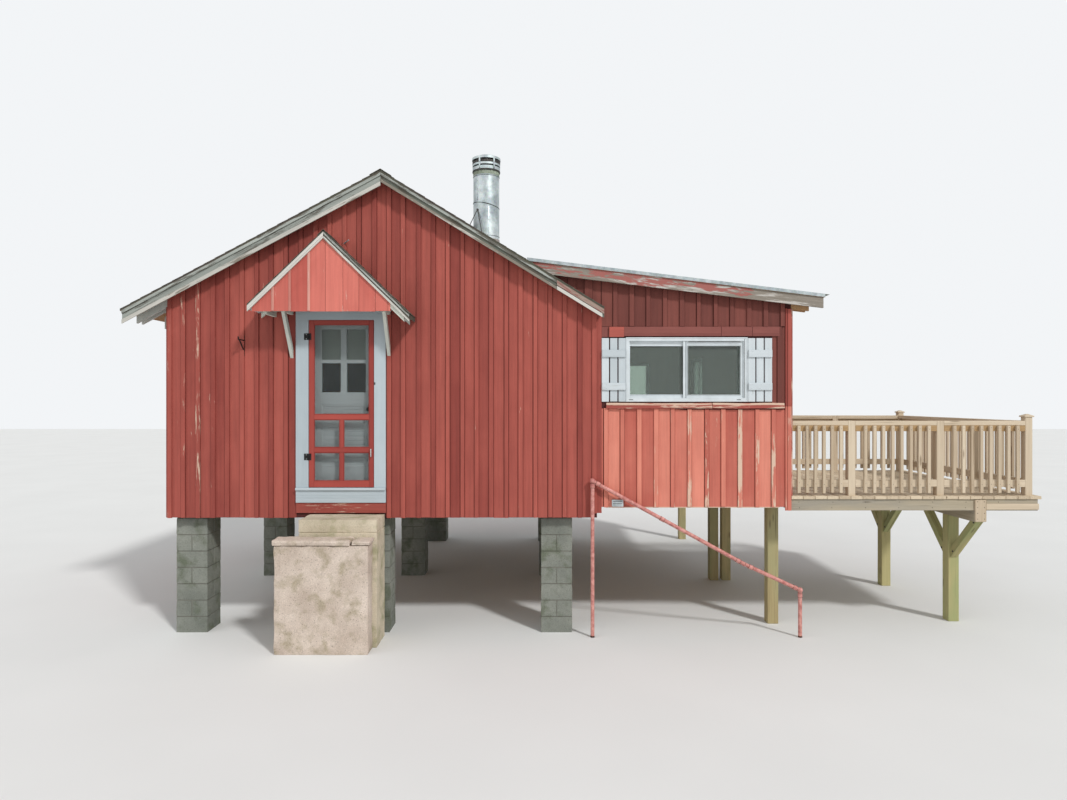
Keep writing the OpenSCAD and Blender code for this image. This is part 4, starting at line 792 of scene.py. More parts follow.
def addition_rake():
    """One long board a side whose red paint is left on its upper part only, and a drip edge over it."""
    plank = Pieces("addition_rake_planks", "peeling_rake", PEELING, seed=35, replaces="addition_rake_boards")
    high, low = 30 * K_A, (30 + 130) * K_A
    end, upper_cut = 7955, 268
    n, m = 60, 6

    def cell(i, j, side):
        return 2 * (i * (m + 1) + j) + side

    faces = []
    for i in range(n):
        for j in range(m):
            faces.append((cell(i, j, 0), cell(i + 1, j, 0), cell(i + 1, j + 1, 0), cell(i, j + 1, 0)))
            faces.append((cell(i, j, 1), cell(i, j + 1, 1), cell(i + 1, j + 1, 1), cell(i + 1, j, 1)))
        faces.append((cell(i, 0, 0), cell(i, 0, 1), cell(i + 1, 0, 1), cell(i + 1, 0, 0)))
        faces.append((cell(i, m, 0), cell(i + 1, m, 0), cell(i + 1, m, 1), cell(i, m, 1)))
    for j in range(m):
        faces.append((cell(0, j, 0), cell(0, j + 1, 0), cell(0, j + 1, 1), cell(0, j, 1)))
        faces.append((cell(n, j, 0), cell(n, j, 1), cell(n, j + 1, 1), cell(n, j + 1, 0)))
    for sides in ((-110, -85), (MAIN_D + 85, MAIN_D + 110)):
        verts, grain, wear = [], [], []
        for share, up in [(i / n, j / m) for i in range(n + 1) for j in range(m + 1)]:
            start = MEET_X + 1 + upper_cut * (1 - up)
            x = start + (end - start) * share
            z = top_a(x) - low + (low - high) * up
            bare = max(0.0, min(1.0, (share - 0.72) * 9)) * (0.75 + 0.25 * math.sin(9 * share + 5 * up))
            foot = max(0.0, 0.55 - up + 0.16 * math.sin(31 * share) * math.sin(17 * share + 2))
            verts += [(x, y, z) for y in sides]
            grain += [(z + SLOPE_A * x, y, x) for y in sides]
            wear += [2.6 * bare + 2.2 * foot - 0.35] * 2
        plank.add(verts, faces, grain, tone=0.5, wear=wear)
    plank.finish(0.003)
    drip = Pieces("addition_drip_edge", "galvanised", DRIP_METAL, seed=36)
    for y0 in (-128, MAIN_D + 125.4):
        rake_strip(drip, LOW, 0, RUN_A, -30, 9.5, y0, y0 + 2.6, edge=0.8)
    drip.finish()


def hood():
    """Red boards with a few battens, and layered trim under the hood's edges."""
    boards = Pieces("hood_red_boards", "red_siding", [HOOD_RED, RED, HOOD_WORN], seed=41)
    wall = Wall((0, -HOOD_D), X, -Y)
    foot_z = 3908

    def under(x):
        return top_h(x) - HOOD_T * K_H - 2

    marks = [1177, 1424, 1622, 1844, 2036, 2240, 2426, 2618, 2764, 2794]
    for a, b in zip(marks, marks[1:]):
        tone, foot = boards.rng.random(), foot_z - 2 + boards.rng.uniform(-5, 2)
        for lo, hi in [(a, HOOD_X), (HOOD_X, b)] if a < HOOD_X < b else [(a, b)]:
            wall.strip(boards, lo + 1.8 * (lo == a), hi - 1.8 * (hi == b), foot,
                       lambda u, v: max(under(u), under(v)), under, 0, 7, edge=0, tone=tone, wear=0.3)
    for x, wide, tone in ((1424, 30, 0.4), (1622, 28, 0.0), (1844, 30, 0.8)):
        wall.strip(boards, x - wide / 2, x + wide / 2, foot_z, lambda u, v: min(under(u), under(v)), None,
                   5, 17, edge=1.5, wear=0.1, tone=tone, mat=2)
    boards.finish()

    trim = Pieces("hood_trim_layers", "grey_rake", [RAKE_EDGE, RAKE], seed=42, replaces="hood_trim")
    for slope, run, out0, out1, y0, y1, tone, wear, mat in (
            (HOOD_L, HOOD_RUN_L, -56, -38.2, -433, -408, 0.8, 0.1, 0),
            (HOOD_L, HOOD_RUN_L, -37.6, -7, -433, -430.2, 0.8, 0.1, 0),
            (HOOD_R, HOOD_RUN_R, -64, -38.2, -430, -408, 0.6, 0.4, 0),
            (HOOD_R, HOOD_RUN_R, -24, -5, -434, -430.2, 0.9, 0.4, 1)):
        rake_strip(trim, slope, 0, run - 1, out0, out1, y0, y1, tone=tone, wear=wear, mat=mat)
    trim.finish()


# Deck: planks, joists, railing and braced posts
def deck_planks():
    planks = Pieces("deck_planks", "treated_lumber", [DECKING, DARK_METAL], seed=51, replaces="deck_floor")
    rng = planks.rng
    rows, joists, lip, nose = 21, 8, 36, 20
    pitch = (DECK_X[1] + lip - DECK_X[0]) / rows
    for i in range(rows):
        x = DECK_X[0] + i * pitch
        y = (-nose + rng.uniform(-4, 3), DECK_D + nose + rng.uniform(-3, 4))
        planks.box((x + 2.5, x + pitch - 2.5), y, (RIM[1] + 0.2, DECK_Z - rng.uniform(0, 2)), long="y",
                   edge=4, parts=12, warp=0.8, wear=rng.uniform(0, 0.6))
        for y in [DECK_D * k / joists for k in range(joists + 1)]:
            y = min(max(y, nose), DECK_D - nose)
            for off in (0.25, 0.75):
                planks.screw((x + pitch * off, y + rng.uniform(-6, 6), DECK_Z - 1.5), Z)
    planks.finish()


def deck_framing():
    timber = Pieces("deck_joists", "treated_lumber", [RIM_WOOD, RAIL_WOOD, DARK_METAL], seed=52,
                    replaces="deck_frame deck_beam")
    rows, thick = 8, 38
    for i in range(rows + 1):
        y = (DECK_D - thick) * i / rows
        short = 0 if i in (0, rows) else thick
        timber.box((DECK_X[0] + short, DECK_X[1] - short), (y, y + thick), RIM, long="x", edge=3, parts=16,
                   warp=1.2)
    for x in (DECK_X[0], DECK_X[1] - thick):
        timber.box((x, x + thick), (thick + 0.2, DECK_D - thick - 0.2), RIM, long="y", edge=3, parts=10)
    # Beam of two planks, with a nailed block over its front end and a paler strip beside it
    for x in (BEAM_X[0], BEAM_X[0] + 70.5):
        timber.box((x, x + 69.5), (0, DECK_D), (RIM[0] - TIMBER, RIM[0]), long="y", edge=3, parts=8)
    timber.box((BEAM_X[0] + 2, BEAM_X[1] - 2), (-22, -0.2), (1386, 1652), edge=3, mat=1, tone=0.3)
    timber.box((BEAM_X[1], DECK_X[1] + 4), (-16, -0.2), (1533, 1606), long="x", edge=3, mat=1, tone=0.7)
    for x in range(7700, 10500, 406):
        for z in (1555, 1625):
            timber.screw((x + timber.rng.uniform(-8, 8), -0.5, z), -Y, 5, 2)
    for x in (9865, 9948):
        for z in (1420, 1490, 1560, 1630):
            timber.screw((x, -22.5, z), -Y, 5, 2)
    timber.finish()


def rail_panel(rails, start, along, inward, length):
    """One bay: its balusters on the outer side of an upper and a lower board, under a flat cap."""
    start = Vector(start)
    rng = rails.rng
    cap_t, upper_h, lower_h = 56, 71, 89

    def bar(side, height, deep, tall, **kw):
        mid = start + inward * side + Z * height
        rails.board(mid, mid + along * length, inward, Z, deep, tall, parts=6, warp=0.8, **kw)

    bar(38 + 44.5, RAIL_H - cap_t / 2, 89, cap_t, edge=4, tone=0.75)
    bar(57, RAIL_H - cap_t - upper_h / 2, 38, upper_h, edge=3, tone=0.4, mat=1 if inward.y > 0 else 0)
    bar(57, 104 + lower_h / 2, 38, lower_h, edge=3)
    count = int(length // 112)
    for i in range(1, count + 1):
        spot = start + along * (i * length / (count + 1) + rng.uniform(-2, 2)) + inward * 19
        foot = 36 + rng.uniform(-4, 3)
        rails.board(spot + Z * foot, spot + Z * (RAIL_H - cap_t - 1), along, inward, 38, 38, edge=3,
                    parts=2, warp=0.5)
        for z in (148, 822):
            rails.screw(spot - inward * 19.2 + Z * (z + rng.uniform(-14, 14)), -inward, 3.5, 2)


def railing():
    rails = Pieces("railing_boards", "treated_lumber", [RAIL_WOOD, RAIL_SHADE, DARK_METAL], seed=53,
                   replaces="deck_rails rail_posts rail_post_caps")
    starts = [DECK_X[0], RAIL_COLS[0] + HALF_POST, RAIL_COLS[1] + HALF_POST]
    ends = [c - HALF_POST for c in RAIL_COLS]
    for i in range(3):
        rail_panel(rails, (starts[i], 0, DECK_Z), X, Y, ends[i] - starts[i])
        rail_panel(rails, (ends[i], DECK_D, DECK_Z), -X, -Y, ends[i] - starts[i])
        rail_panel(rails, (DECK_X[1], RAIL_ROWS[i] + HALF_POST, DECK_Z), Y, -X,
                   RAIL_ROWS[i + 1] - RAIL_ROWS[i] - 2 * HALF_POST)
    outer = (RAIL_ROWS[0], RAIL_ROWS[3])
    corners = [(RAIL_COLS[2], r) for r in outer]
    posts = [(c, r) for c in RAIL_COLS[:2] for r in outer] + [(RAIL_COLS[2], r) for r in RAIL_ROWS[1:3]]
    for x, y in corners + posts:
        rails.box((x - HALF_POST, x + HALF_POST), (y - HALF_POST, y + HALF_POST),
                  (RIM[0], CAP_Z if (x, y) in corners else POST_TOP), edge=5, parts=4, warp=0.6,
                  tone=rails.rng.uniform(0.5, 1))
    for x, y in corners:
        rails.box((x - 57.5, x + 57.5), (y - 57.5, y + 57.5), (CAP_Z, CAP_Z + 18), long="x", edge=4,
                  tone=0.8)
        verts = [(x + half * a, y + half * b, z) for half, z in ((50, CAP_Z + 18), (10, CAP_Z + 38))
                 for a, b in ((-1, -1), (1, -1), (1, 1), (-1, 1))]
        rails.prism(verts, True, tone=0.5)
    rails.finish()


def legs():
    """The deck's braced posts, the addition's posts and the beams under the floors."""
    deck = Pieces("deck_leg_timbers", "treated_lumber", [LEG_WOOD, DARK_METAL], seed=54,
                  replaces="deck_posts")
    top = RIM[0] - TIMBER
    x0, x1 = BEAM_X[0] + 25, BEAM_X[1] - 25
    reach, cut = 550, 126
    bolt = [(14, -1), (14, 3), (9, 3.2), (9, 10), (0, 10.5)]
    for y in (550, 2350):
        deck.box(BEAM_X, (y, y + TIMBER), (0, top), edge=7, parts=6, warp=1.0)
        for way, face in ((-1, y), (1, y + TIMBER)):
            verts = [(x, face + way * a, top - b) for x in (x0, x1)
                     for a, b in ((0, reach), (0, reach - cut), (reach - cut, 0), (reach, 0))]
            skew = [(v[0], (v[1] + way * (top - v[2])) * 0.7, (v[2] + way * v[1]) * 0.7) for v in verts]
            deck.prism(verts, way > 0, grain=skew)
            for a, b in ((55, 460), (500, 15)):
                deck.lathe((x0, face + way * a, top - b), bolt, 6, -X, mat=1)
    deck.finish(0.003)

    under = Pieces("addition_leg_timbers", "old_post", POST_WOOD, seed=55, replaces="addition_posts")
    for x, y in ((7460, 450), (7460, 2700), (7460, 6100), (7265, 2700)):
        under.box((x, x + TIMBER), (y, y + TIMBER), (0, ADD_SIDING_Z), edge=7, parts=6, warp=1.5)
    under.finish()
    beams = Pieces("floor_beam_timbers", "old_post", POST_WOOD, seed=56, replaces="floor_beams")
    for y in PIER_ROWS:
        for mid in (y - 35.2, y + 35.2):
            beams.box((120, MAIN_W), (mid - 34.5, mid + 34.5), (PIER_TOP, PIER_TOP + TIMBER), long="x",
                      edge=4, parts=8)
    beams.box((7340, 7480), (120, MAIN_D - 120), (ADD_SIDING_Z, 1742), long="y", edge=4, parts=8)
    beams.finish()


# Masonry: pier blocks with mortar joints, the entry step and its ragged stone
def worn_block(pieces, x, y, z, rough=5.0, cut=14, step=70, **kw):
    """Masonry block with an uneven face and chipped edges."""
    rng = pieces.rng
    sizes = [r[1] - r[0] for r in (x, y, z)]
    n = [max(2, int(s / step)) for s in sizes]
    index, verts = {}, []

    def vert(key):
        if key not in index:
            p = [r[0] + s * k / m for r, s, k, m in zip((x, y, z), sizes, key, n)]
            inward = [(k == 0) - (k == m) for k, m in zip(key, n)]
            corner = sum(map(abs, inward)) > 1
            depth = rng.uniform(0, rough) + (rng.uniform(0.2, 1) * cut if corner else 0)
            inward[2] = min(inward[2], 0)
            index[key] = len(verts)
            verts.append([p[i] + inward[i] * depth * (0.7 if corner else 1) for i in range(3)])
        return index[key]

    faces = []
    for k in range(3):
        a, b = [i for i in range(3) if i != k]
        for end in (0, n[k]):
            for i in range(n[a]):
                for j in range(n[b]):
                    quad = []
                    for di, dj in ((0, 0), (1, 0), (1, 1), (0, 1)):
                        key = [0, 0, 0]
                        key[k], key[a], key[b] = end, i + di, j + dj
                        quad.append(vert(tuple(key)))
                    faces.append(quad if (end != 0) ^ (k == 1) else quad[::-1])
    pieces.add(verts, faces, **kw)


def masonry_work():
    piers = Pieces("pier_blocks", "block", [BLOCK, MORTAR], seed=61, replaces="block_piers")
    half, core, course, bed = 194, 186, 202, 9
    for x in PIER_COLS:
        for y in PIER_ROWS:
            z = 0.0
            row = 0
            while z < PIER_TOP - 18:
                top = min(z + course, PIER_TOP)
                for side in (-1, 1):
                    a, b = (x, y) if row % 2 else (y, x)
                    ranges = (tuple(sorted((a + side * 2, a + side * half))), (b - half, b + half))
                    worn_block(piers, *(ranges if row % 2 else ranges[::-1]), (z, top - bed), 2.5, 7)
                middle = ((x - core, x + core), (y - core, y + core), (z, top))
                if top < PIER_TOP:
                    piers.box(*middle, edge=0, mat=1)
                else:
                    worn_block(piers, *middle, 0, 0, mat=1)
                z = top
                row += 1
    piers.finish()

    step = Pieces("entry_step_masonry", "concrete", [CONCRETE, STONE], seed=62, replaces="entry_step")
    worn_block(step, (1734, 2648), (-455, 0), (0, 1330), 3, 8, 90)
    worn_block(step, (1734, 2648), (-455, 0), (1338, 1483), 3, 10, 60)
    step.box((1745, 2637), (-444, -8), (1300, 1345), long="x", edge=0)
    worn_block(step, (1528, 2604), (-700, -454), (0, 1233), 6, 16, 80, mat=1)
    worn_block(step, (1508, 2400), (-720, -454), (1233, 1298), 5, 20, 45, mat=1)
    worn_block(step, (2408, 2624), (-706, -454), (1235, 1290), 5, 22, 45, mat=1)
    step.finish(0.004)


# Front door: casing boards, framed screen door, panelled inner door with a blind behind its upper panes
SCREEN_PANES = [((1791, 2462), (2693, 3787))]
SCREEN_PANES += [(x, z) for x in ((1791, 2104), (2150, 2462)) for z in ((2292, 2632), (1885, 2231))]
PANES = [(x, z) for x in ((1848, 2090), (2156, 2398)) for z in ((2960, 3325), (3362, 3744))]


def door_frame():
    casing = Pieces("door_casing_facings", "white_paint", CASING_WHITE, seed=71)
    proud = (-39.6, -37.8)
    casing.box((1570.5, 1725), proud, (1805, 3842), edge=1, tone=0.5, wear=0.3)
    casing.box((2522.5, 2661.5), proud, (1805, 3842), edge=1, tone=0.8, wear=0.2)
    casing.box((1570.5, 2661.5), proud, (3844, 3947.5), long="x", edge=1, tone=0.6, wear=0.2)
    casing.finish()
    sill = Pieces("door_sill_planks", "white_paint", [CASING_WHITE, RED], seed=72,
                  replaces="door_sill_boards")
    sill.box(CASING_X, (-65, 0), (1774, 1804), long="x", edge=4, tone=0.9)
    for z in ((1714, 1773), (1678, 1713), (1622, 1677)):
        sill.box(CASING_X, (-38, 0), z, long="x", edge=0.8, tone=0.7, wear=0.1)
    sill.box((1708, 2541), (-1, 120), (1773, 1803.5), long="x", edge=2)
    sill.box(CASING_X, (-25, 0), (1495, 1619), long="x", edge=3, wear=0.4, mat=1)
    sill.finish()


def frame_of(pieces, x, z, y, stiles, rails, **kw):
    """Stiles and rails round a rectangle: two uprights of given widths, then cross pieces between them."""
    pieces.box((x[0], x[0] + stiles[0]), y, z, **kw)
    pieces.box((x[1] - stiles[1], x[1]), y, z, **kw)
    for rail in rails:
        pieces.box((x[0] + stiles[0] + 0.4, x[1] - stiles[1] - 0.4), y, rail, long="x", **kw)


def bead(pieces, x, z, y, width, **kw):
    """Moulding round a rectangle, as four strips on its inner side."""
    for a, b in ((x[0], x[0] + width), (x[1] - width, x[1])):
        pieces.box((a, b), y, z, **kw)
    for a, b in ((z[0], z[0] + width), (z[1] - width, z[1])):
        pieces.box((x[0] + width, x[1] - width), y, (a, b), long="x", **kw)


def doors():
    leaf = Pieces("screen_door_timbers", "red_door", DOOR_WOOD, body="screen_door", seed=73,
                  replaces="screen_door_frame")
    frame_of(leaf, DOOR_X, DOOR_Z, (-38, -10), (62, 55),
             ((3787, 3841), (2632, 2693), (2231, 2292), (1809, 1885)), edge=3)
    for z in ((1885.4, 2230.6), (2292.4, 2631.6)):
        leaf.box((2104, 2150), (-36, -12), z, edge=3)
    for x, z in SCREEN_PANES:
        bead(leaf, x, z, (-31, -25), 9, tone=0.1)
    leaf.finish()

    inner = Pieces("inner_door_timbers", "white_paint", DOOR_WHITE, body="inner_door", seed=74,
                   replaces="inner_door")
    y = (76, 120)
    frame_of(inner, (1743, 2503), (1809, 3827), y, (105, 105), ((3744, 3827), (2809, 2960), (1809, 2049)),
             edge=2, tone=0.6)
    inner.box((2090, 2156), y, (2960.4, 3743.6), tone=0.7)
    for x in ((1848.4, 2089.6), (2156.4, 2397.6)):
        inner.box(x, y, (3325, 3362), long="x", tone=0.9)
    panel, low, tall, count = (1848.4, 2397.6), 2049.4, 54.2, 14
    for i in range(count):
        z = (low + tall * i, low + tall * (i + 1) - 0.5)
        inner.box(panel, (84, 112), z, long="x", edge=4, tone=0.5)
    # Beads take the lightest tone, a painted highlight on the mouldings
    for depth in ((77, 86), (110, 118)):
        bead(inner, panel, (low, low + tall * count), depth, 14, edge=3, tone=1.0)
    for x, z in PANES:
        for depth in ((80, 95.5), (100.5, 117)):
            bead(inner, x, z, depth, 4, edge=1, tone=1.0)
    inner.finish()


def upper_blind():
    """Blind hung behind the upper panes, with a stiff hem."""
    n, m = 48, 12
    width, drop = 0.572, 0.412
    mid, back, foot = 2123, 125.5, 3338
    head_z, hem_z = 3752, 3337
    mesh = bpy.data.meshes.new("upper_blind")
    verts = [at(mid + 1000 * width * (i / n - 0.5),
                back + 0.9 * math.sin(i * 0.9) + 0.5 * math.sin(i * 0.37 + j * 0.3),
                foot + 1000 * drop * j / m) for j in range(m + 1) for i in range(n + 1)]
    quads = [(j * (n + 1) + i, j * (n + 1) + i + 1, (j + 1) * (n + 1) + i + 1, (j + 1) * (n + 1) + i)
             for j in range(m) for i in range(n)]
    mesh.from_pydata(verts, [], quads)
    mesh.materials.append(BLIND)
    mesh.polygons.foreach_set("use_smooth", [True] * len(quads))
    cloth = link("upper_blind", mesh)
    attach(cloth, "inner_door")
    rods = Pieces("blind_rods", "white_paint", DOOR_WHITE, body="inner_door", seed=75, smooth=True)
    rods.tube((1835, back, head_z), (2411, back, head_z), 4.5)
    rods.tube((1838, back, hem_z), (2408, back, hem_z), 3.2)
    for x in (1836, 2410):
        rods.tube((x, 119, head_z), (x, 127, head_z), 6)
    hem = rods.finish()


def door_fixings():
    bits = Pieces("door_fixings", "black_iron", [IRON, SILVER], seed=76)
    for z in (2153, 2205, 3613, 3665):
        bits.screw((1700, -41, z), -Y, 4.5)
    bits.box((2526, 2536), (-46, -39), (3055, 3086))
    bits.tube((2531, -52, 3072), (2531, -40, 3072), 2.5)
    bits.finish()


# Windows, shutters and trim
def window_sashes():
    sash = Pieces("front_window_sashes", "white_vinyl", [VINYL, VINYL_SHADE, DARK_METAL], seed=81)
    x0, x1, z0, z1 = *WIN_X, *WIN_Z
    for x, z, y, width, edge, mat in (
            ((x0 + 2, x1 - 2), (z0 + 2, z1 - 2), (-16, -11.8), 13, 1.5, 0),
            ((x0 + 45, 6319), (z0 + 45, z1 - 45), (13, 25.2), 9, 1, 0),
            ((5630, 6300), (z0 + 83, z1 - 100), (19, 27), 6, 1, 0),
            ((6325, x1 - 45), (z0 + 45, z1 - 45), (-2, 10.2), 8, 1, 0),
            ((6340, x1 - 80), (z0 + 83, z1 - 100), (3, 12), 7, 1, 1)):
        bead(sash, x, z, y, width, edge=edge, mat=mat)
    sash.box((6284, 6312), (-3, 10.5), (z0 + 46, z1 - 46))
    # Dark strips under the right sash's head and down its right jamb are painted shadow lines
    sash.box((6345, x1 - 90), (-14.5, -11.9), (z1 - 58, z1 - 52), long="x", edge=0, mat=2)
    sash.box((x1 - 40, x1 - 36), (-14, -11.9), (z0 + 50, z1 - 20), edge=0, mat=2)
    # Dark weep slots: painted shade in their holes
    for x in (5648, 6962):
        sash.box((x - 26, x + 26), (-13.5, -11.9), (z0 + 22, z0 + 29), long="x", edge=0, mat=2)
    sash.finish()


def shutters():
    cover = Pieces("shutter_boards", "white_paint", [WHITE, GALVANISED], seed=82, replaces="shutters")
    rng = cover.rng
    for left in (5290, 7072):
        for i in range(3):
            x = left + i * 102.55
            cover.box((x, x + 87.9), (-20, -0.2), (WIN_Z[0] + rng.uniform(0, 4), 3626 - rng.uniform(0, 4)),
                      edge=3, wear=0.3)
        for z in (2989, 3390):
            cover.box((left + 3, left + 290), (-40, -20), (z, z + 90), long="x", edge=4, wear=0.4)
            for i in range(3):
                for dz in (24, 66):
                    cover.screw((left + 44 + i * 102.5 + rng.uniform(-9, 9), -40, z + dz), -Y)
    cover.finish()


def window_trim():
    trim = Pieces("window_trim_boards", "red_trim", [RED, RED_PAINTED_SUNLIGHT, RED_DULL], seed=83,
                  replaces="wall_trim_boards")
    for x in ((5380, 6744), (6748, 7121), (7125, 7454)):
        trim.box(x, (-25, 0), HEAD_Z, long="x", edge=3, tone=trim.rng.random(), wear=0.2, mat=2)
        trim.box(x, (-27, -24.8), (HEAD_Z[0], 3682), long="x", edge=1, tone=0.1, mat=2)
    trim.box((5292, 5378), (-7, 0), (3638, 3763), edge=1, tone=0.3, mat=2)
    trim.box((5380, 5560), (-33, -24.8), (3636, 3760), long="x", edge=3, wear=0.1, tone=1.0)
    for a, b in ((5343, 6630), (6634, 7511)):
        trim.box((a, b), (-45, 0), (DRIP_Z[0], 2806), long="x", edge=5, wear=0.7, tone=0.6, parts=14,
                 warp=1.5)
        # The drip's top strip takes the lighter red, painted sunlight on its top
        trim.box((a + 2, b - 2), (-40, 0), (2804, DRIP_Z[1]), long="x", edge=5, wear=1.0, mat=1, parts=14,
                 warp=2.5)
    for a, b, tone in ((7527, 7550, 0.1), (7554, ADD_X1, 0.8)):
        trim.box((a, b), (-22, 0), (2795, top_a(b) - UNDER_A - 144 * K_A), edge=3, wear=0.2, tone=tone)
        # Below the drip the corner takes the lighter red, painted sunlight
        trim.box((a, b), (-22, 0), (1523, 2793), edge=3, wear=0.5, mat=1)
    # Foot strip, mostly bare, with the lighter red of painted sunlight where paint is left
    trim.box((5346, 7458), (-9, -0.5), (1557, 1567), long="x", mat=1, wear=1.6)
    trim.finish()


def hidden_sides():
    """Plain casings round the windows of the hidden sides, and the deck door's facings."""
    side = Pieces("side_window_casings", "red_trim", RED_TRIM, seed=84)
    for place, along, out in (((0, MAIN_D / 2), Y, -X), ((ADD_X1, SIDE_WIN_Y), Y, X),
                              ((MAIN_W / 2, MAIN_D), X, Y), ((ADD_MID, MAIN_D), X, Y)):
        wall = Wall(place, along, out)
        for a, b in ((-510, -451), (451, 510)):
            wall.strip(side, a, b, WIN_Z[0] - 58, WIN_Z[1] + 58, None, 0, 18, edge=3, wear=0.3)
        for mid in (WIN_Z[0] - 30, WIN_Z[1] + 30):
            ends = [wall.spot(u, mid, 9.5) for u in (-450, 450)]
            side.board(*ends, Z, out, 58, 19, edge=3, wear=0.3)
        ends = [wall.spot(u, WIN_Z[0] - 62, 20) for u in (-520, 520)]
        side.board(*ends, out, Z, 40, 14, edge=3, wear=0.6)
    side.finish()

    leaf = Pieces("deck_door_boards", "white_paint", [WHITE, IRON], seed=85)
    face = (ADD_X1 + 19.8, ADD_X1 + 22)
    for y in ((1020, 1099), (1949, 2028)):
        leaf.box(face, y, (1700, 3860), edge=1)
    leaf.box(face, (1020, 2028), (3862, 3941), long="y", edge=1)
    front = (ADD_X1 - 20, ADD_X1 - 14)
    for y, z, wide in (((1240, 1808), (1800, 2040), 60), ((1220, 1828), (2060, 3724), 12)):
        for ends in ((y[0], y[0] + wide), (y[1] - wide, y[1])):
            leaf.box(front, ends, z)
        for ends in ((z[0], z[0] + wide), (z[1] - wide, z[1])):
            leaf.box(front, (y[0] + wide + 0.5, y[1] - wide - 0.5), ends, long="y")
    knob = [(26, 0), (26, 4), (11, 7), (11, 24), (23, 32), (27, 40), (23, 49), (0, 53)]
    leaf.lathe((front[0], 1185, 2720), knob, 24, X, mat=1)
    leaf.finish()


# Chimney, handrail, hood framing and small fittings
def around(turn):
    """Direction out from an upright axis, turned from the front."""
    a = math.radians(turn - 90)
    return Vector((math.cos(a), math.sin(a), 0))


def chimney():
    rings = Pieces("chimney_rings", "galvanised", [GALVANISED, DARK_METAL, RUSTY, PAINTED_REFLECTION], seed=91,
                   smooth=True)
    for lo, hi in ((6223, 6258), (6112, 6132)):
        rings.lathe(CHIMNEY, [(195, lo), (198.4, lo + 1), (198.4, hi - 1), (195, hi)], 64, mat=1)
    # Band under the cap in greenish mottled metal: a painted reflection
    rings.lathe(CHIMNEY, [(184, 6056), (187.5, 6057), (187.5, 6110), (184, 6111)], 64, mat=3)
    for z, tall, r in ((6048, 6, 190), (5200, 10, 189)):
        half = tall * 0.6
        rings.lathe(CHIMNEY, [(184, z - tall), (r, z - half), (r, z + half), (184, z + tall)], 64)
        rings.lathe(CHIMNEY, [(185.6, z - tall - 3), (185.6, z - tall)], 64, mat=1)
    lean, collar_z, strap_r, seam_r = Vector((0.21, 0.05, 1)), 5640, 199.5, 185.8
    collar = CHIMNEY + Z * collar_z
    rings.lathe(collar, [(186, -8), (193, -5), (193, 5), (186, 8)], 64, lean)
    rings.lathe(collar, [(191, -11), (191, -7)], 64, lean, mat=1)
    for turn in (-25, 37, 109, 181, 253):
        out = around(turn)
        mid = CHIMNEY + out * strap_r
        rings.board(mid + Z * 6134, mid + Z * 6300, Z.cross(out), out, 22, 3, edge=0.8)
        for z in (6143, 6225):
            rings.lathe(mid + out * 1.4 + Z * z, [(5, -1), (5, 1.5), (3, 3), (0, 3.4)], 8, out, mat=1)
    for turn, z0, z1 in ((14, 5010, 5600), (-38, 5690, 6080)):
        out = around(turn)
        mid = CHIMNEY + out * seam_r
        rings.board(mid + Z * z0, mid + Z * z1, Z.cross(out), out, 12, 2.4, edge=0.8)
        for z in range(z0 + 40, z1, 120):
            rings.lathe(mid + out * 1.2 + Z * z, [(4, -1), (4, 1), (0, 2)], 8, out, mat=1)
    stay_top = Vector((3668, 1377, 5556))
    for x, y in ((3478, 1240), (3800, 1190)):
        foot = Vector((x, y, top_r(x) + 12))
        rings.tube(foot, stay_top, 6, 10, mat=1)
        rings.lathe(foot, [(30, -4), (30, 0), (8, 3), (0, 4)], 16, RIGHT.out, mat=2)
    rings.lathe(stay_top, [(14, -9), (14, 9)], 12, -Y, mat=1)
    rings.finish()


def handrail():
    """Couplings, end balls and feet of the pipe handrail."""
    pipe = Pieces("handrail_couplings", "pipe_paint", [PIPE, RUSTY], seed=92, smooth=True)
    a, b, c = [Vector((x, PIPE_Y, z)) for x, z in ((5173, 1890), (7006, 886), (7684, 571))]
    high, low = b - a, c - b
    band = [(27, -2), (28.4, -1.5), (28.4, 1.5), (27, 2)]
    for mid, way in ((a + high * 0.46, high), (b + low * 0.12, low), (b - high * 0.04, high),
                     (a - Z * 55, Z), (c - Z * 59, Z), (a + high * 0.035, high), (c - low * 0.09, low)):
        pipe.lathe(mid, [(23.2, -30), (27, -27), (27, 27), (23.2, 30)], 32, way)
        for s in (-27, 27):
            pipe.lathe(mid + way.normalized() * s, band, 32, way, mat=1)
    for x in (a.x, c.x):
        pipe.lathe((x, PIPE_Y, 0), [(23.2, 0), (25, 0), (25, 14), (23.2, 20)], 32, mat=1)
    for centre in (a - Z, c):
        pipe.lathe(centre, [(0, -33), (16, -29), (28, -18), (32.5, 0), (28, 18), (16, 29), (0, 33)], 32)
    flange = 353
    spot = Vector((a.x + flange, -6.5, a.z + flange * high.z / high.x))
    for turn in [math.radians(degrees) for degrees in (30, 150, 270)]:
        pipe.screw(spot + Vector((19 * math.cos(turn), 0, 19 * math.sin(turn))), -Y)
    pipe.finish()


def small_fittings():
    small = Pieces("wall_box_and_stub", "silver_metal", [GREY_BOX, DARK_METAL, SILVER], seed=93)
    x0, x1, z0, z1 = 5414, 5545, 1580, 1656
    small.box((x0 - 4, x1 + 4), (-54, -49), (z0 - 4, z1 + 4), long="x")
    for i, z in enumerate(range(z0 + 14, z1 - 6, 15)):
        small.box((x0 + 10, x1 - 10), (-58 + i % 2, -53), (z, z + 6), long="x", edge=1, mat=i % 2)
    for x in (x0 + 4, x1 - 4):
        small.screw((x, -54, (z0 + z1) / 2), -Y, 3.5, 2)
    small.tube((2135, -6, 4768), (2222, -74, 4806), 7, 10)
    small.lathe((2135, -6, 4768), [(16, -3), (16, 2), (8, 4)], 12, -Y, mat=1)
    small.finish()


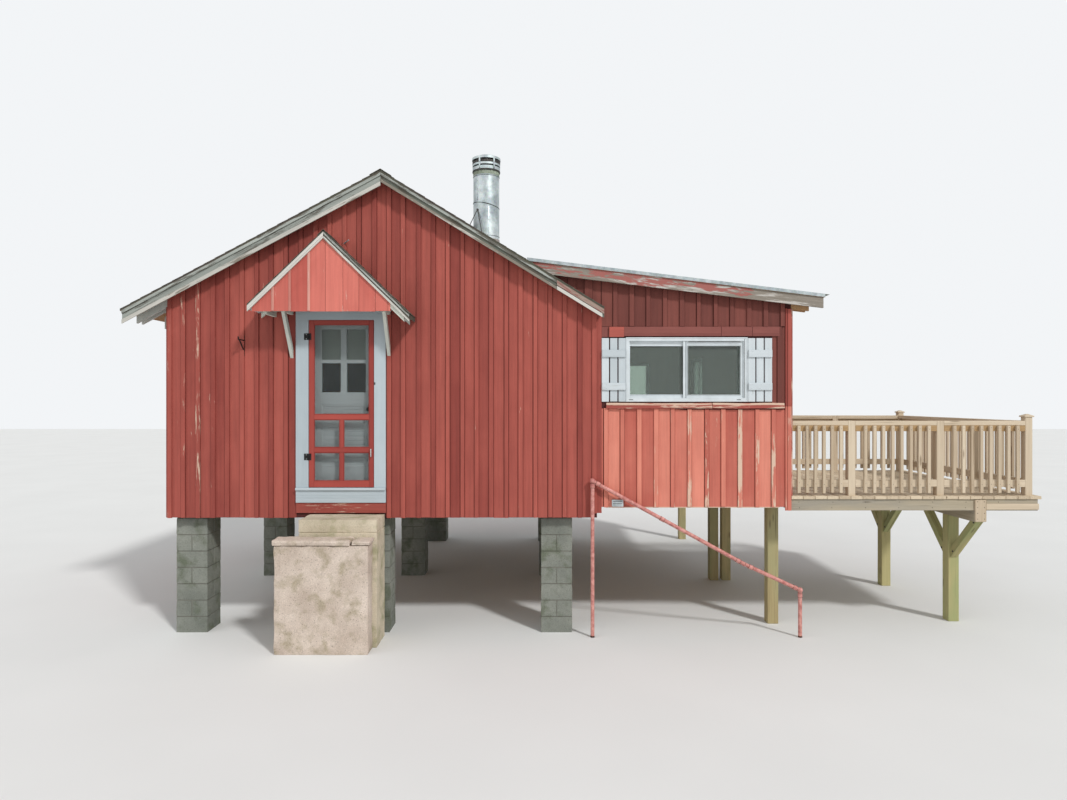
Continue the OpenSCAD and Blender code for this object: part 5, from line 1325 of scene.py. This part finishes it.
def hood_framing():
    wood = Pieces("hood_underside_boards", "white_paint", HOOD_WHITE, seed=94,
                  replaces="hood_frame hood_brackets")
    wood.box((1215, 2794), (-380, -342), (3908.5, 3996), long="x", edge=3)
    for x in (1494, 2680):
        wood.box((x, x + 38), (-342, -0.2), (3908, 3997), long="y", edge=3)
        outline = [(-330, 3908), (-255, 3908), (0, 3500), (0, 3370)]
        wood.prism([(d, y, z) for d in (x, x + 38) for y, z in outline], True)
    wood.box((1290, 1328), (-342, -0.2), (3880, 3952), long="y", edge=3)
    rake_strip(wood, HOOD_R, 84, 330, -104, -38.5, -405, -367, edge=3, tone=1.0)
    rake_strip(wood, HOOD_R, 84, 330, -104, -38.5, -42, -4, edge=3)
    rake_strip(wood, HOOD_L, 30, 300, -96, -38.5, -42, -4, edge=3)
    wood.finish(0.002)


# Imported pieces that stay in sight
def dress_packed():
    """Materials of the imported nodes, by face where two sides differ."""
    inner = {"front_wall_left": Y, "front_wall_right": Y, "front_wall_over_door": Y,
             "front_wall_under_door": Y, "left_wall": X, "back_wall": -Y, "addition_front_wall": Y,
             "addition_side_wall": -X, "addition_back_wall": -Y}
    # Outer wall faces show only in the siding's gaps, painted dark as shade and dirt there
    for name, way in inner.items():
        dress(name, [GROOVE_DIRT_AND_SHADE, INNER], pick=lambda face: face.normal.dot(way) > 0.9)
    for name, top, under in (("main_roof_left", SHINGLES, RAW), ("main_roof_right", SHINGLES, RAW),
                             ("addition_roof", ROLL, RAW), ("hood_roof", SHINGLES, WHITE_PLAIN)):
        dress(name, [top, under], pick=lambda face: face.normal.z < -0.5)
    for name, split, left, right in (
            ("screen_door_hardware", 2000, IRON, SILVER), ("rafters", 5400, HOOD_PLAIN, RAW),
            ("wall_fittings", 5300, IRON, GREY_BOX)):
        dress(name, [left, right], 0.001, lambda face: (face.center.x - ROW0[0]) * 1000 > split)
    # Clear lower panes, and hazy ones in front of the blind
    blind_foot = 3.343
    dress("inner_door_glass", [CLEAR_GLASS, HAZY_GLASS], pick=lambda face: face.center.z > blind_foot)
    # The cap's faces inside its cage are painted dark, as painted shade in its openings
    axis, cage_r, cage_top = at(*CHIMNEY), 0.186, 6.30
    dress("chimney_cap", [GALVANISED, DARK_METAL], 0.002,
          lambda face: math.hypot(face.center.x - axis.x, face.center.y - axis.y) < cage_r
          and face.center.z < cage_top and abs(face.normal.z) < 0.9)
    for name in ("main_floor_joists", "addition_floor_joists", "eave_beam", "ridge_board"):
        dress(name, RAW)
    for name, mat, edge in (("floor_boards", INNER, 0), ("chimney_pipe", GALVANISED, 0),
                            ("chimney_flashing", FLASHING, 0), ("hood_front_boards", GROOVE_DIRT_AND_SHADE, 0),
                            ("door_casing", WHITE_PLAIN, 0.002), ("screen_door_mesh", SCREEN, 0),
                            ("hinge_leaves", IRON, 0.001), ("inner_door_hardware", IRON, 0.001),
                            ("front_window_frame", VINYL, 0.002), ("side_window_frames", VINYL, 0.002),
                            ("window_glass", GLASS, 0), ("deck_door", WHITE_PLAIN, 0.002),
                            ("pipe_handrail", PIPE, 0)):
        dress(name, mat, edge)


def camera_and_light():
    scene = bpy.context.scene
    scene.view_settings.view_transform = "Standard"
    cam = link("camera", bpy.data.cameras.new("camera"))
    cam.data.sensor_width = 36
    cam.data.lens = 24.47
    cam.data.clip_end = 200
    cam.location = (-0.6185, -11.7725, 2.87)
    cam.rotation_euler = (math.radians(90), 0, 0)
    scene.camera = cam
    world = bpy.data.worlds.new("studio")
    scene.world = world
    world.use_nodes = True
    tree = world.node_tree
    path = tree.nodes.new("ShaderNodeLightPath")
    seen = path.outputs["Is Camera Ray"]
    for ray in ("Is Glossy Ray", "Is Transmission Ray"):
        either = tree.nodes.new("ShaderNodeMath")
        either.operation = "MAXIMUM"
        tree.links.new(seen, either.inputs[0])
        tree.links.new(path.outputs[ray], either.inputs[1])
        seen = either.outputs[0]
    level = tree.nodes.new("ShaderNodeMapRange")
    tree.links.new(seen, level.inputs["Value"])
    level.inputs["To Min"].default_value = 0.56
    level.inputs["To Max"].default_value = 0.93
    back = tree.nodes["Background"]
    tree.links.new(level.outputs[0], back.inputs["Strength"])
    back.inputs["Color"].default_value = (0.96, 0.98, 1.0, 1.0)
    for name, spin, energy, angle in (("sun", (50, 0, 38), 2.0, 6), ("fill", (62, 0, -52), 0.5, 60)):
        lamp = link(name, bpy.data.lights.new(name, "SUN"))
        lamp.data.energy = energy
        lamp.data.angle = math.radians(angle)
        lamp.rotation_euler = [math.radians(a) for a in spin]


def floor():
    s = Shader("floor_plain", 0.95)
    s.paint(s.mix(s.noise(s.place(), 0.5, 2), srgb(222, 222, 220), srgb(230, 230, 228)))
    mesh = bpy.data.meshes.new("floor")
    r = 60
    mesh.from_pydata([(-r, -r, 0), (r, -r, 0), (r, r, 0), (-r, r, 0)], [], [(0, 1, 2, 3)])
    mesh.materials.append(s.mat)
    link("floor", mesh)


for build in (dress_packed, front_siding, side_siding, roofs, addition_rake, hood, deck_planks, deck_framing,
              railing, legs, masonry_work, door_frame, doors, upper_blind, door_fixings, window_sashes,
              shutters, window_trim, hidden_sides, chimney, handrail, small_fittings, hood_framing,
              camera_and_light, floor):
    build()
